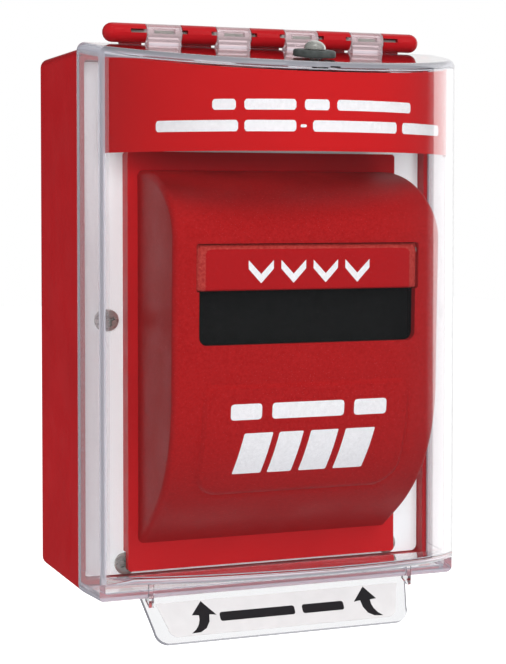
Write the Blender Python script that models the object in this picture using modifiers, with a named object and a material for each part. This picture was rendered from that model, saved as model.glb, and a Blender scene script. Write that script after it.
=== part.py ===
"""Manual call point: a wall box with a pull station under a hinged, clear lift-up cover.

Metres, +Z up. X runs left to right, +Y goes into the wall, and the origin is the centre of
the back box's rear face, which lies on the wall. Outlines below are written in millimetres.
"""
import math

import bmesh
import bpy
from mathutils import Matrix, Vector

MM = 0.001
GAP = 0.3                       # clearance that touching pieces keep

# Back box
BOX_WIDTH, BOX_HEIGHT, BOX_DEPTH = 143.0, 195.0, 51.5
BOX_WALL, BOX_BACK_WALL, BOX_CORNER = 2.5, 3.0, 3.5
MOUTH_CORNER = 1.2
CABLE_HOLE_Z, CABLE_HOLE_RADIUS = -35.0, 11.0
WALL_SCREW_X, WALL_SCREW_Z = 45.0, 65.0

# Hinge frame and the white mounting plate inside it
FRAME_WALL, FRAME_DEPTH = 1.6, 13.0
FRAME_FLANGE_FRONT, FRAME_FLANGE_THICK = 44.2, 2.2
PLATE_FRONT, PLATE_THICK = 47.0, 2.5
PLATE_SCREWS = [(x, z) for z in (-88.7, 88.7) for x in (-52.5, 52.5)] + [(-58.8, 0.0), (58.8, 0.0)]

# Hinge barrel
BARREL_Y, BARREL_Z, BARREL_RADIUS = -53.0, 103.1, 3.5
KNUCKLE, BARREL_END = 13.35, 59.1
WEB_INSET = 0.4                 # how far a web stops short of its knuckle's ends
PIN_RADIUS, PIN_BORE = 1.25, 1.6

# Clear cover
COVER_BACK, COVER_WALL = 51.8, 2.5
RIM_DEPTH, RIM_DRAFT = 18.7, 2.5
DOME_RADIUS, DOME_CENTRE = 74.6, 42.1
TOP_Z, TOP_SLOPE, BOTTOM_SLOPE = 99.45, 0.158, 0.167
DOME_BOTTOM_Z = -91.0
COVER_CORNER, COVER_EDGE, RIM_EDGE = 3.2, 2.2, 2.4   # fillets at the sides, bowed front and rim
DOME_STEPS, FILLET_STEPS = 32, 4
LABEL_BOTTOM_Z = 59.5
RIVET_Y = -98.5
WASHER_HEIGHT = 2.9

# Pull station
STATION_BASE = (106.0, 53.6, 6.3)          # width, front depth, thickness
STATION_BASE_Z = (-90.7, 60.8)
HOUSING_WIDTH, HOUSING_WALL, HOUSING_FILLET = 98.8, 2.5, 2.2
HANDLE_BOTTOM_Z, HANDLE_HALF_WIDTH, HANDLE_END_ROUND = 12.2, 41.2, 3.0
HANDLE_PIVOT_Y, HANDLE_PIVOT_Z, HANDLE_ROUND = -92.0, 25.6, 2.6
HANDLE_PIN_RADIUS, HANDLE_BORE = 1.0, 1.3
RECESS_HALF_WIDTH, RECESS_BOTTOM_Z, RECESS_BACK = 40.3, -6.5, 86.0

# Switch that the handle's tail presses
LEVER_PIVOT_Y, LEVER_PIVOT_Z, LEVER_LENGTH, LEVER_ANGLE = -62.0, 14.5, 15.0, 24.6

COLOURS = {                     # colour, roughness, metallic
    "red_plastic": ((0.38, 0.012, 0.014), 0.35, 0.0),
    "textured_red": ((0.36, 0.012, 0.014), 0.5, 0.0),
    "white_plastic": ((0.82, 0.84, 0.86), 0.4, 0.0),
    "clear_plastic": ((0.8, 0.82, 0.88), 0.05, 0.0),
    "black_plastic": ((0.012, 0.013, 0.012), 0.6, 0.0),
    "grey_rubber": ((0.05, 0.06, 0.06), 0.7, 0.0),
    "steel": ((0.6, 0.6, 0.58), 0.25, 1.0),
    "brass": ((0.7, 0.5, 0.2), 0.3, 1.0),
    "green_board": ((0.02, 0.16, 0.06), 0.5, 0.0),
    "label_red": ((0.52, 0.015, 0.018), 0.4, 0.0),
    "label_white": ((0.88, 0.88, 0.88), 0.5, 0.0),
}


def start():
    for old in list(bpy.data.objects):
        bpy.data.objects.remove(old, do_unlink=True)
    for name in ("manual_call_point", "cutters"):
        collection = bpy.data.collections.get(name) or bpy.data.collections.new(name)
        if collection.name not in bpy.context.scene.collection.children:
            bpy.context.scene.collection.children.link(collection)


def material(name):
    found = bpy.data.materials.get(name)
    if found:
        return found
    colour, roughness, metallic = COLOURS[name]
    made = bpy.data.materials.new(name)
    made.use_nodes = True
    shader = made.node_tree.nodes["Principled BSDF"]
    shader.inputs["Base Color"].default_value = (*colour, 1.0)
    shader.inputs["Roughness"].default_value = roughness
    shader.inputs["Metallic"].default_value = metallic
    return made


def add_object(name, mesh, finish=None):
    """A piece when it has a finish, else a cutter that the build leaves out."""
    made = bpy.data.objects.new(name, mesh)
    if finish:
        bpy.data.collections["manual_call_point"].objects.link(made)
        mesh.materials.append(material(finish))
    else:
        bpy.data.collections["cutters"].objects.link(made)
        made.hide_render = True
        made.display_type = "WIRE"
    return made


def to_mesh(name, work):
    bmesh.ops.recalc_face_normals(work, faces=work.faces)
    mesh = bpy.data.meshes.new(name)
    work.to_mesh(mesh)
    work.free()
    mesh.shade_smooth()
    mesh.set_sharp_from_angle(angle=math.radians(35))
    return mesh


def box(name, x, y, z, finish=None):
    """A block between the given low and high values on each axis."""
    work = bmesh.new()
    size = Matrix.Diagonal((*((high - low) * MM for low, high in (x, y, z)), 1.0))
    centre = Matrix.Translation([(low + high) / 2 * MM for low, high in (x, y, z)])
    bmesh.ops.create_cube(work, size=1.0, matrix=centre @ size)
    return add_object(name, to_mesh(name, work), finish)


def prism(name, outline, axis, low, high, finish=None, fillet=0.0, segments=3):
    """An outline swept along X, Y or Z; the outline's two numbers are the other two axes."""
    places = {"X": lambda u, v, w: (w, u, v), "Y": lambda u, v, w: (u, w, v), "Z": lambda u, v, w: (u, v, w)}
    place = places[axis]
    work = bmesh.new()
    face = work.faces.new([work.verts.new(Vector(place(u, v, low)) * MM) for u, v in outline])
    swept = bmesh.ops.extrude_face_region(work, geom=[face])
    moved = [item for item in swept["geom"] if isinstance(item, bmesh.types.BMVert)]
    bmesh.ops.translate(work, verts=moved, vec=Vector(place(0, 0, high - low)) * MM)
    if fillet:
        ends = [face for face in work.faces if len(face.verts) == len(outline)]
        back = max(v.co.y for v in work.verts) - 0.05 * MM
        rims = {edge for face in ends for edge in face.edges
                if not all(v.co.y > back for v in edge.verts)}
        bmesh.ops.bevel(work, geom=list(rims), offset=fillet * MM, segments=segments, profile=0.5,
                        affect="EDGES", clamp_overlap=True)
    return add_object(name, to_mesh(name, work), finish)


def rod(name, centre, axis, radius, length, finish=None, sides=20):
    """A cylinder centred on a point."""
    turn = {"X": Matrix.Rotation(math.pi / 2, 4, "Y"), "Y": Matrix.Rotation(math.pi / 2, 4, "X"),
            "Z": Matrix.Identity(4)}[axis]
    work = bmesh.new()
    bmesh.ops.create_cone(work, cap_ends=True, segments=sides, radius1=radius * MM,
                          radius2=radius * MM, depth=length * MM,
                          matrix=Matrix.Translation(Vector(centre) * MM) @ turn)
    return add_object(name, to_mesh(name, work), finish)


def turned(name, profile, finish=None, steps=24):
    """A solid of revolution about its own Z from (radius, height) points, top to bottom."""
    work = bmesh.new()
    points = [work.verts.new((radius * MM, 0.0, height * MM)) for radius, height in profile]
    for first, second in zip(points, points[1:]):
        work.edges.new((first, second))
    mesh = bpy.data.meshes.new(name)
    work.to_mesh(mesh)
    work.free()
    made = add_object(name, mesh, finish)
    screw = made.modifiers.new("Turn", "SCREW")
    screw.steps = screw.render_steps = steps
    screw.use_merge_vertices = True
    screw.merge_threshold = 0.00001
    return made


def loft(name, rings):
    """A closed skin through rings with equal numbers of points, capped at both ends."""
    work = bmesh.new()
    rows = [[work.verts.new(point) for point in ring] for ring in rings]
    count = len(rows[0])
    for lower, upper in zip(rows, rows[1:]):
        for index in range(count):
            after = (index + 1) % count
            work.faces.new((lower[index], lower[after], upper[after], upper[index]))
    work.faces.new(rows[0])
    work.faces.new(rows[-1])
    return to_mesh(name, work)


def combine(target, tool, operation="DIFFERENCE"):
    step = target.modifiers.new(operation.title(), "BOOLEAN")
    step.operation = operation
    step.solver = "EXACT"
    step.object = tool
    return target


def rounded_rectangle(width, height, radius, steps=5):
    """Corner points of a rectangle centred on zero, anticlockwise from the lower right."""
    points = []
    for turn, (sx, sz) in enumerate(((1, -1), (1, 1), (-1, 1), (-1, -1))):
        for step in range(steps + 1):
            angle = math.radians(90 * (turn - 1) + 90 * step / steps)
            points.append((sx * (width / 2 - radius) + radius * math.cos(angle),
                           sz * (height / 2 - radius) + radius * math.sin(angle)))
    return points


def offset_outline(points, distance):
    """Move a closed outline's corners inward by a distance (outward when it is negative)."""
    area = sum(a[0] * b[1] - b[0] * a[1] for a, b in zip(points, points[1:] + points[:1]))
    side = math.copysign(1.0, area)
    moved = []
    for index, point in enumerate(points):
        before = (Vector(point) - Vector(points[index - 1])).normalized()
        after = (Vector(points[(index + 1) % len(points)]) - Vector(point)).normalized()
        normal_before = Vector((-before.y, before.x)) * side
        normal_after = Vector((-after.y, after.x)) * side
        mitre = (normal_before + normal_after).normalized()
        moved.append(tuple(Vector(point) + mitre * distance / max(mitre.dot(normal_after), 0.3)))
    return moved


def shift(points, u=0.0, v=0.0):
    return [(a + u, b + v) for a, b in points]


# ---------------------------------------------------------------- hinge

def knuckle_spans(red):
    """X ranges of the frame's knuckles, or of the cover's, from left to right."""
    edges = [KNUCKLE * (index - 4.5) for index in range(10)]
    spans = []
    for index, (low, high) in enumerate(zip(edges, edges[1:])):
        if (index % 2 == 0) == red:
            spans.append((-BARREL_END if index == 0 else low, BARREL_END if index == 8 else high))
    return spans


def hinge_frame():
    """Ring inside the box's mouth, with a flange behind the plate and five knuckles on top."""
    inner_width, inner_height = BOX_WIDTH - 2 * BOX_WALL, BOX_HEIGHT - 2 * BOX_WALL
    outer = rounded_rectangle(inner_width - 2 * GAP, inner_height - 2 * GAP, MOUTH_CORNER)
    frame = prism("hinge_frame", outer, "Y", -BOX_DEPTH, -BOX_DEPTH + FRAME_DEPTH, "red_plastic")
    inset = 2 * (GAP + FRAME_WALL)
    pocket = rounded_rectangle(inner_width - inset, inner_height - inset, MOUTH_CORNER)
    flange_back = -FRAME_FLANGE_FRONT + FRAME_FLANGE_THICK
    combine(frame, prism("frame_pocket", pocket, "Y", -BOX_DEPTH - 1, -FRAME_FLANGE_FRONT))
    combine(frame, prism("frame_rear_pocket", pocket, "Y", flange_back, -BOX_DEPTH + FRAME_DEPTH + 1))
    combine(frame, prism("frame_window", rounded_rectangle(98, 158, 4), "Y", -BOX_DEPTH, flange_back + 1))
    for index, (x, z) in enumerate(PLATE_SCREWS):
        combine(frame, rod(f"flange_hole_{index}", (x, -43, z), "Y", 2.3, 6, sides=16))
    ring_top = inner_height / 2 - GAP
    web_drop = FRAME_WALL / 2
    rise = BOX_HEIGHT / 2
    red_web = [(-COVER_BACK + 0.4, rise - 0.5), (-COVER_BACK + 0.4, BARREL_Z - 2.4), (BARREL_Y + 1.0, BARREL_Z + 3.2),
               (BARREL_Y + 6.0, rise - 0.5)]
    for index, (low, high) in enumerate(knuckle_spans(red=True)):
        low, high = low + GAP / 2, high - GAP / 2
        foot = box(f"web_foot_{index}", (low, high), (-BOX_DEPTH, -BOX_DEPTH + FRAME_DEPTH - 3),
                   (ring_top - web_drop, BOX_HEIGHT / 2))
        neck_low, neck_high = max(low + WEB_INSET, -BARREL_END + 4), min(high - WEB_INSET, BARREL_END - 4)
        neck = prism(f"web_neck_{index}", red_web, "X", neck_low, neck_high)
        barrel = rod(f"red_barrel_{index}", ((low + high) / 2, BARREL_Y, BARREL_Z), "X", BARREL_RADIUS,
                     high - low, sides=18)
        for piece in (foot, neck, barrel):
            combine(frame, piece, "UNION")
    for side in (-1, 1):
        ball = bmesh.new()
        bmesh.ops.create_uvsphere(ball, u_segments=18, v_segments=9, radius=BARREL_RADIUS * 0.998 * MM)
        end = add_object(f"barrel_ball_{side}", to_mesh("barrel_ball", ball))
        end.location = Vector((side * (BARREL_END - GAP / 2 - 0.1), BARREL_Y, BARREL_Z)) * MM
        combine(frame, end, "UNION")
    combine(frame, rod("frame_pin_bore", (0, BARREL_Y, BARREL_Z), "X", PIN_BORE, 2 * BARREL_END - 6))
    for index, (low, high) in enumerate(knuckle_spans(red=True)):
        for end, inward in ((low, 1), (high, -1)):
            if abs(end) < BARREL_END:
                length = 6.0 if max(abs(low), abs(high)) == BARREL_END else 2.2
                span = sorted((end - inward, end + inward * length))
                combine(frame, box(f"sight_slot_{index}_{inward}", span, (BARREL_Y - 5, BARREL_Y - 1),
                                   (BARREL_Z - 0.1, BARREL_Z + 1.3)))
    return frame


def hinge_pin():
    return rod("hinge_pin", (0, BARREL_Y, BARREL_Z), "X", PIN_RADIUS, 2 * BARREL_END - 8, "steel")


# ---------------------------------------------------------------- wall box

def back_box():
    """Box that lies on the wall, open at the front, with a boss under each plate screw."""
    outline = rounded_rectangle(BOX_WIDTH, BOX_HEIGHT, BOX_CORNER)
    body = prism("back_box", outline, "Y", -BOX_DEPTH, 0, "red_plastic")
    mouth = rounded_rectangle(BOX_WIDTH - 2 * BOX_WALL, BOX_HEIGHT - 2 * BOX_WALL, MOUTH_CORNER)
    combine(body, prism("box_cavity", mouth, "Y", -BOX_DEPTH - 1, -BOX_BACK_WALL))
    boss_front = -FRAME_FLANGE_FRONT + FRAME_FLANGE_THICK + GAP
    for index, (x, z) in enumerate(PLATE_SCREWS):
        boss = rod(f"box_boss_{index}", (x, (boss_front - 1) / 2, z), "Y", 4.4, -1 - boss_front, sides=16)
        combine(body, boss, "UNION")
        combine(body, rod(f"boss_bore_{index}", (x, boss_front, z), "Y", 1.9, 28, sides=12))
    for index, (low, high) in enumerate(knuckle_spans(red=True)):
        combine(body, box(f"web_notch_{index}", (low - GAP / 2, high + GAP / 2),
                          (-BOX_DEPTH - 1, -BOX_DEPTH + FRAME_DEPTH - 3 + GAP), (BOX_HEIGHT / 2 - 4, BOX_HEIGHT / 2 + 1)))
    combine(body, rod("cable_hole", (0, 0, CABLE_HOLE_Z), "Y", CABLE_HOLE_RADIUS, 12))
    for index, (x, z) in enumerate(wall_screw_places()):
        combine(body, rod(f"wall_hole_{index}", (x, 0, z), "Y", 2.6, 12, sides=16))
    return body


def wall_screw_places():
    return [(x, z) for z in (-WALL_SCREW_Z, WALL_SCREW_Z) for x in (-WALL_SCREW_X, WALL_SCREW_X)]


def pan_screw(name, x, y, z, head_radius, shank_radius, length, head_height=2.4, steps=12, recess=False):
    """Pan-head screw along Y whose head rests at y and faces the room."""
    dome = [(0, head_height), (head_radius * 0.6, head_height * 0.9), (head_radius, head_height * 0.35),
            (head_radius, 0), (shank_radius, 0), (shank_radius, -length), (0, -length)]
    screw = turned(name, dome, "steel", steps=steps)
    screw.rotation_euler = (math.radians(90), 0, 0)
    screw.location = Vector((x, y, z)) * MM
    if not recess:
        return screw
    reach = head_radius * 0.58
    for index, (wide, tall) in enumerate(((reach, 0.55), (0.55, reach))):
        combine(screw, box(f"{name}_recess_{index}", (x - wide, x + wide),
                           (y - head_height - 1, y - head_height + 1.3), (z - tall, z + tall)))
    return screw


def cable_grommet():
    """Rubber ring that lines the cable entry in the box's back."""
    lip, neck, bore = CABLE_HOLE_RADIUS + 3, CABLE_HOLE_RADIUS - GAP, CABLE_HOLE_RADIUS - 3
    profile = [(bore, 6.0), (lip, 6.0), (lip, BOX_BACK_WALL + GAP), (neck, BOX_BACK_WALL + GAP),
               (neck, GAP), (bore, GAP), (bore, 6.0)]
    ring = turned("cable_grommet", profile, "grey_rubber", steps=20)
    ring.rotation_euler = (math.radians(90), 0, 0)
    ring.location = Vector((0, 0, CABLE_HOLE_Z)) * MM
    return ring


def mounting_plate():
    """White plate that carries the station, with the wiring hole in its middle."""
    inside = BOX_WALL + GAP + FRAME_WALL + GAP
    outline = rounded_rectangle(BOX_WIDTH - 2 * inside, BOX_HEIGHT - 2 * inside, 2.5)
    plate = prism("mounting_plate", outline, "Y", -PLATE_FRONT, -PLATE_FRONT + PLATE_THICK, "white_plastic")
    holes = [(x, z, 2.3) for x, z in PLATE_SCREWS]
    holes += [(x, z, 1.8) for x, z in station_screw_places()]
    holes += [(0, CABLE_HOLE_Z, 12.0)]
    for index, (x, z, radius) in enumerate(holes):
        combine(plate, rod(f"plate_hole_{index}", (x, -PLATE_FRONT, z), "Y", radius, 12, sides=14))
    return plate


# ---------------------------------------------------------------- clear cover

def dome_arc(radius, half_width, steps=DOME_STEPS):
    """Plan points of the dome's front, right to left, as (x, y)."""
    reach = math.asin(half_width / radius)
    angles = [reach * (1 - 2 * step / steps) for step in range(steps + 1)]
    return [(radius * math.sin(angle), -DOME_CENTRE - radius * math.cos(angle)) for angle in angles]


def top_line(y):
    """Height of the cover's sloping top at a depth."""
    return TOP_Z + TOP_SLOPE * (y + BOX_DEPTH)


def bottom_line(y):
    """Height of the dome's rising underside at a depth in front of the rim."""
    return DOME_BOTTOM_Z - BOTTOM_SLOPE * (y + COVER_BACK + RIM_DEPTH)


def cover_solid(name, inset, finish=None):
    """Rounded block of the cover, lofted upward through plan rings that share their corners."""
    half_back = BOX_WIDTH / 2 - inset
    half_front = half_back - RIM_DRAFT
    back = -COVER_BACK + (1.0 if inset else 0.0)
    rim_front = -COVER_BACK - RIM_DEPTH + inset
    low = -BOX_HEIGHT / 2 + inset
    side_round = COVER_CORNER - inset / 2
    front_round, rim_round = (0.5, 1.0) if inset else (COVER_EDGE, RIM_EDGE)
    arc = dome_arc(DOME_RADIUS - inset, half_front)

    def rounding(x):
        """Fillet radius along the bowed front: large at the sides, small in the middle."""
        blend = max(0.0, (abs(x) / half_front - 0.8) / 0.2)
        return front_round + (side_round - front_round) * blend * blend

    def ring(points, normals, radii, height, angle):
        """One ring moved inward and along Z as a fillet of the given radii."""
        placed = []
        for (x, y), (nx, ny), radius in zip(points, normals, radii):
            inward = radius * (1 - math.sin(angle))
            x, y = x - nx * inward, y - ny * inward
            placed.append(Vector((x, y, height(y, radius * (1 - math.cos(angle))))) * MM)
        return placed

    corners = [(-half_back, back), (half_back, back)]
    corner_normals = [(-1.0, 0.0), (1.0, 0.0)]
    squeeze = 1 - (rim_round + 0.6) / half_front
    flat = corners + [(x if abs(x) > half_front - 0.01 else x * squeeze, rim_front) for x, _ in arc]
    flat_normals = corner_normals + [
        (x / half_front, -1.0) if abs(x) > half_front - 0.01 else (0.0, -1.0) for x, _ in arc]
    bowed = corners + arc
    radius = DOME_RADIUS - inset
    bowed_normals = corner_normals + [(x / radius, (y + DOME_CENTRE) / radius) for x, y in arc]
    rim_radii = [side_round] * 2 + [rim_round] * len(arc)
    under_radii = [0.0] * 2 + [front_round * min(1.0, (half_front - abs(x)) / 8.0) for x, _ in arc]
    top_radii = [side_round] * 2 + [rounding(x) for x, _ in arc]
    quarter = [math.radians(90 * step / FILLET_STEPS) for step in range(FILLET_STEPS + 1)]

    rings = [ring(flat, flat_normals, rim_radii, lambda y, rise: low + rise, angle) for angle in quarter]
    ledge = bottom_line(rim_front) + inset
    rings.append([Vector((x, y, ledge)) * MM for x, y in flat])
    for step, angle in enumerate(quarter):
        lift = 0.4 * (step + 1)
        placed = ring(bowed, bowed_normals, under_radii,
                      lambda y, rise: max(bottom_line(min(y, rim_front)) + inset + rise, ledge), angle)
        for index in (0, 1, 2, len(placed) - 1):
            placed[index].z = (ledge + lift) * MM
        rings.append(placed)
    for angle in reversed(quarter):
        rings.append(ring(bowed, bowed_normals, top_radii, lambda y, drop: top_line(y) - inset - drop, angle))
    return add_object(name, loft(name, rings), finish)


def lift_tab():
    """Tab under the rim that tilts forward, seen from the front as a tapered plate."""
    top_z, bottom_z, top_y, bottom_y, thick = -96.6, -113.2, -62.8, -74.0, 2.0
    length = math.hypot(top_z - bottom_z, top_y - bottom_y)
    outline = [(52.5, 0.0), (-52.5, 0.0)]
    for side in (-1, 1):
        for step in range(5):
            angle = math.radians(90 * step / 4 if side > 0 else 90 * (4 - step) / 4)
            outline.append((side * (44.3 + 5 * math.sin(angle)), -(length - 5 + 5 * math.cos(angle))))
    tab = prism("lift_tab", outline, "Y", -thick / 2, thick / 2)
    tab.location = Vector((0, top_y, top_z)) * MM
    tab.rotation_euler = (-math.atan2(top_y - bottom_y, top_z - bottom_z), 0, 0)
    return tab


def cover_shell():
    """Clear cover: one moulding with its rim, dome, lift tab and four hinge knuckles."""
    shell = cover_solid("cover_shell", 0.0, "clear_plastic")
    combine(shell, cover_solid("cover_hollow", COVER_WALL))
    combine(shell, lift_tab(), "UNION")
    for side in (-1, 1):
        rib = [(-69.5, -91.6), (-71.8, -91.6), (-71.4, -100.2), (-67.0, -98.4)]
        combine(shell, prism(f"tab_rib_{side}", rib, "X", side * 50.4 - 0.9, side * 50.4 + 0.9), "UNION")
    web_front = BARREL_Y - BARREL_RADIUS
    web = [(web_front + 0.6, BARREL_Z + 0.4), (web_front - 0.4, top_line(web_front) - 0.9),
           (-COVER_BACK - 0.7, top_line(-COVER_BACK) - 1.3), (-COVER_BACK - 0.3, BARREL_Z - 4.7),
           (BARREL_Y + 1.3, BARREL_Z - 2.6)]
    for index, (low, high) in enumerate(knuckle_spans(red=False)):
        low, high = low + GAP / 2, high - GAP / 2
        combine(shell, prism(f"clear_web_{index}", web, "X", low + WEB_INSET, high - WEB_INSET), "UNION")
        combine(shell, rod(f"clear_barrel_{index}", ((low + high) / 2, BARREL_Y, BARREL_Z), "X",
                           BARREL_RADIUS * 0.997, high - low), "UNION")
        centre = ((low + high) / 2, BARREL_Y, BARREL_Z)
        combine(shell, rod(f"clear_bore_{index}", centre, "X", PIN_BORE, high - low + 0.2))
        middle = (low + high) / 2
        combine(shell, box(f"clear_window_{index}", (middle - 4.0, middle + 4.0), (BARREL_Y - 6, BARREL_Y - 1),
                           (BARREL_Z - 0.2, BARREL_Z + 1.4)))
    combine(shell, rod("rivet_hole", (0, RIVET_Y, 90), "Z", 2.6, 16, sides=16))
    return shell


def cover_label():
    """Red film behind the top of the dome's front."""
    outer = dome_arc(DOME_RADIUS - COVER_WALL - GAP, 66.2)
    inner = dome_arc(DOME_RADIUS - COVER_WALL - GAP - 0.4, 65.9)
    label = prism("cover_label", outer + inner[::-1], "Z", LABEL_BOTTOM_Z, 120, "label_red")
    drop = COVER_WALL + 1.0
    wedge = [(0, top_line(0) - drop), (0, 150), (-150, 150), (-150, top_line(-150) - drop)]
    combine(label, prism("label_trim", wedge, "X", -90, 90))
    return label


def tab_label():
    """White film on the front of the lift tab."""
    outline = rounded_rectangle(91.6, 12.2, 3.5, steps=3)
    film = prism("tab_label", outline, "Y", -1.6, -1.3, "label_white")
    film.location = Vector((0, -69.35, -106.3)) * MM
    film.rotation_euler = (-math.atan2(11.2, 16.6), 0, 0)
    return film


def cover_fittings():
    """Rivet through the cover's top, its washer, and the magnet arm that it holds inside."""
    top = top_line(RIVET_Y)
    tilt = math.atan(TOP_SLOPE)
    tall = WASHER_HEIGHT
    washer = turned("rivet_washer", [(2.5, tall), (6.5, tall), (7.4, tall - 0.8), (7.4, 0.9), (6.9, GAP), (2.5, GAP),
                                     (2.5, tall)], "grey_rubber", steps=24)
    seat = tall + GAP
    rivet = turned("cover_rivet", [(0, seat + 2.9), (1.8, seat + 2.6), (3.2, seat + 1.6), (3.8, seat + 0.4), (3.8, seat),
                                   (1.6, seat), (1.6, -6.8), (0, -6.8)], "steel", steps=20)
    for piece in (washer, rivet):
        piece.rotation_euler = (tilt, 0, 0)
        piece.location = Vector((0, RIVET_Y, top)) * MM
    under = top - COVER_WALL
    arm = [(RIVET_Y - 5, under - 1.6), (RIVET_Y + 5, under - 0.4), (RIVET_Y + 5, under - 2.8), (-70.4, under - 2.8),
           (-70.4, under - 12), (-72.4, under - 12), (-72.4, under - 5.4), (RIVET_Y - 5, under - 5.4)]
    holder = prism("magnet_arm", arm, "X", -4.5, 4.5, "black_plastic")
    combine(holder, rod("arm_hole", (0, RIVET_Y, under), "Z", 3.0, 20, sides=16))
    magnet = rod("magnet", (0, -70.1 + 1.5, under - 8.4), "Y", 3.0, 3.0, "steel", sides=20)
    return washer, rivet, holder, magnet


# ---------------------------------------------------------------- pull station

def station_screw_places():
    return [(x, z) for z in (-70.0, 42.0) for x in (-42.0, 42.0)]


def station_base():
    width, front, thick = STATION_BASE
    low, high = STATION_BASE_Z
    outline = shift(rounded_rectangle(width, high - low, 1.2, 3), v=(low + high) / 2)
    base = prism("station_base", outline, "Y", -front, -front + thick, "red_plastic")
    combine(base, prism("base_wiring", shift(rounded_rectangle(24, 26, 3, 2), v=CABLE_HOLE_Z), "Y", -60, -40))
    for index, (x, z) in enumerate(station_screw_places()):
        combine(base, rod(f"base_hole_{index}", (x, -50, z), "Y", 2.3, 14, sides=16))
    for index, (x, z) in enumerate(PLATE_SCREWS[:2]):
        combine(base, rod(f"head_pocket_{index}", (x, -PLATE_FRONT, z), "Y", 4.7, 7.0, sides=20))
    for index, x in enumerate((-8.5, 8.5)):
        combine(base, rod(f"bracket_pilot_{index}", (x, -54, 8.0), "Y", 1.5, 9, sides=12))
    for index, z in enumerate((-34.5, -25.5)):
        combine(base, rod(f"block_pilot_{index}", (31.0, -54, z), "Y", 1.0, 6, sides=12))
    return base


def housing_profile():
    """Side view as (y, z): elliptical top, almost upright front and a long curve to the foot."""
    base = -STATION_BASE[1] - GAP
    top, shoulder, depth = 54.0, 30.0, 41.2
    points = []
    for step in range(13):
        angle = math.radians(90 * step / 12)
        points.append((base - (depth - GAP) * math.sin(angle), shoulder + (top - shoulder) * math.cos(angle)))
    start, first, second, foot = (40.0, -20.0), (40.4, -56.0), (18.0, -69.0), (0.3, -80.5)
    for step in range(15):
        t = step / 14
        weights = ((1 - t) ** 3, 3 * t * (1 - t) ** 2, 3 * t * t * (1 - t), t ** 3)
        y, z = (sum(w * p[axis] for w, p in zip(weights, (start, first, second, foot))) for axis in (0, 1))
        points.append((-STATION_BASE[1] - y, z))
    return points


def station_housing():
    """Pillow-fronted shell, open at the back, with the handle's opening and a raised panel."""
    half = HOUSING_WIDTH / 2
    profile = housing_profile()
    housing = prism("station_housing", profile, "X", -half, half, "textured_red", fillet=HOUSING_FILLET, segments=4)
    inner = offset_outline(profile, HOUSING_WALL)
    inner = [(y + 0.0 if y < -STATION_BASE[1] - 3 else -STATION_BASE[1] + 2, z) for y, z in inner]
    panel = prism("raised_skin", offset_outline(profile, -0.6), "X", -half, half)
    frame = shift(rounded_rectangle(76.0, 39.0, 6.5), v=-40.0)
    combine(panel, prism("panel_outline", frame, "Y", -110, -70), "INTERSECT")
    combine(housing, panel, "UNION")
    combine(housing, prism("housing_hollow", inner, "X", -half + HOUSING_WALL, half - HOUSING_WALL,
                           fillet=2.0, segments=2))
    grip_low, grip_high = HANDLE_BOTTOM_Z - 0.3, HANDLE_PIVOT_Z + HANDLE_ROUND + 0.35
    grip = rounded_rectangle(2 * HANDLE_HALF_WIDTH + 0.8, grip_high - grip_low, 1.0, 3)
    grip = shift(grip, v=(grip_low + grip_high) / 2)
    finger = shift(rounded_rectangle(2 * RECESS_HALF_WIDTH, 22.0, 3.0), v=RECESS_BOTTOM_Z + 11.0)
    combine(housing, prism("handle_opening", grip, "Y", -110, -84))
    combine(housing, prism("finger_opening", finger, "Y", -110, -84))
    for side in (-1, 1):
        ear = prism(f"pivot_ear_{side}", [(-93.2, 19.0), (-88.0, 19.0), (-88.0, 31.0), (-90.0, 34.0), (-93.2, 34.0)], "X",
                    *sorted((side * 42.2, side * 44.2)))
        combine(housing, ear, "UNION")
    combine(housing, rod("pivot_bore", (0, HANDLE_PIVOT_Y, HANDLE_PIVOT_Z), "X", HANDLE_BORE, 92, sides=16))
    return housing


def finger_recess():
    """Black tray behind the opening under the handle."""
    tray = box("finger_recess", (-43.5, 43.5), (-91.2, -RECESS_BACK + 2), (-9.5, 17.0), "black_plastic")
    hollow = shift(rounded_rectangle(83.4, 23.4, 1.5, 2), v=3.9)
    combine(tray, prism("tray_hollow", hollow, "Y", -95, -RECESS_BACK))
    combine(tray, box("tray_top_relief", (-41.7, 41.7), (-95, -89.8), (11, 18)))
    return tray


def pull_handle():
    """Bar that hangs from the pin in its rounded top edge, with a tail that works the switch."""
    y, z = HANDLE_PIVOT_Y, HANDLE_PIVOT_Z
    turns = [math.radians(angle) for angle in range(0, 196, 15)]
    outline = [(y - HANDLE_ROUND * math.cos(turn), z + HANDLE_ROUND * math.sin(turn)) for turn in turns]
    low = HANDLE_BOTTOM_Z
    outline += [(-90.3, 18.0), (-90.6, low + 2.4), (-90.3, low + 1.2), (-90.3, low + 0.6), (-90.9, low), (-93.6, low),
                (-94.35, low + 0.8)]
    bar = prism("pull_handle", outline, "X", -HANDLE_HALF_WIDTH, HANDLE_HALF_WIDTH, "textured_red")
    tail = box("handle_tail", (-5, 5), (y + 1.4, -74.0), (z - 3.1, z - 0.6))
    combine(bar, tail, "UNION")
    combine(bar, rod("handle_bore", (0, y, z), "X", HANDLE_BORE, 2 * HANDLE_HALF_WIDTH + 2, sides=16))
    for side in (-1, 1):
        flat = HANDLE_HALF_WIDTH - HANDLE_END_ROUND
        outside = HANDLE_HALF_WIDTH + 1
        corner = [(side * (flat - 0.4), -97.0), (side * outside, -97.0), (side * outside, -92.0)]
        for angle in (10, 25, 40, 55, 70, 85):
            turn = math.radians(angle)
            corner.append((side * (flat + HANDLE_END_ROUND * math.cos(turn)), -92.0 - 2.7 * math.sin(turn)))
        combine(bar, prism(f"end_round_{side}", corner, "Z", low - 2, z + 6))
    return bar


def handle_pin():
    return rod("handle_pin", (0, HANDLE_PIVOT_Y, HANDLE_PIVOT_Z), "X", HANDLE_PIN_RADIUS, 91.0, "steel", sides=16)


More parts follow.
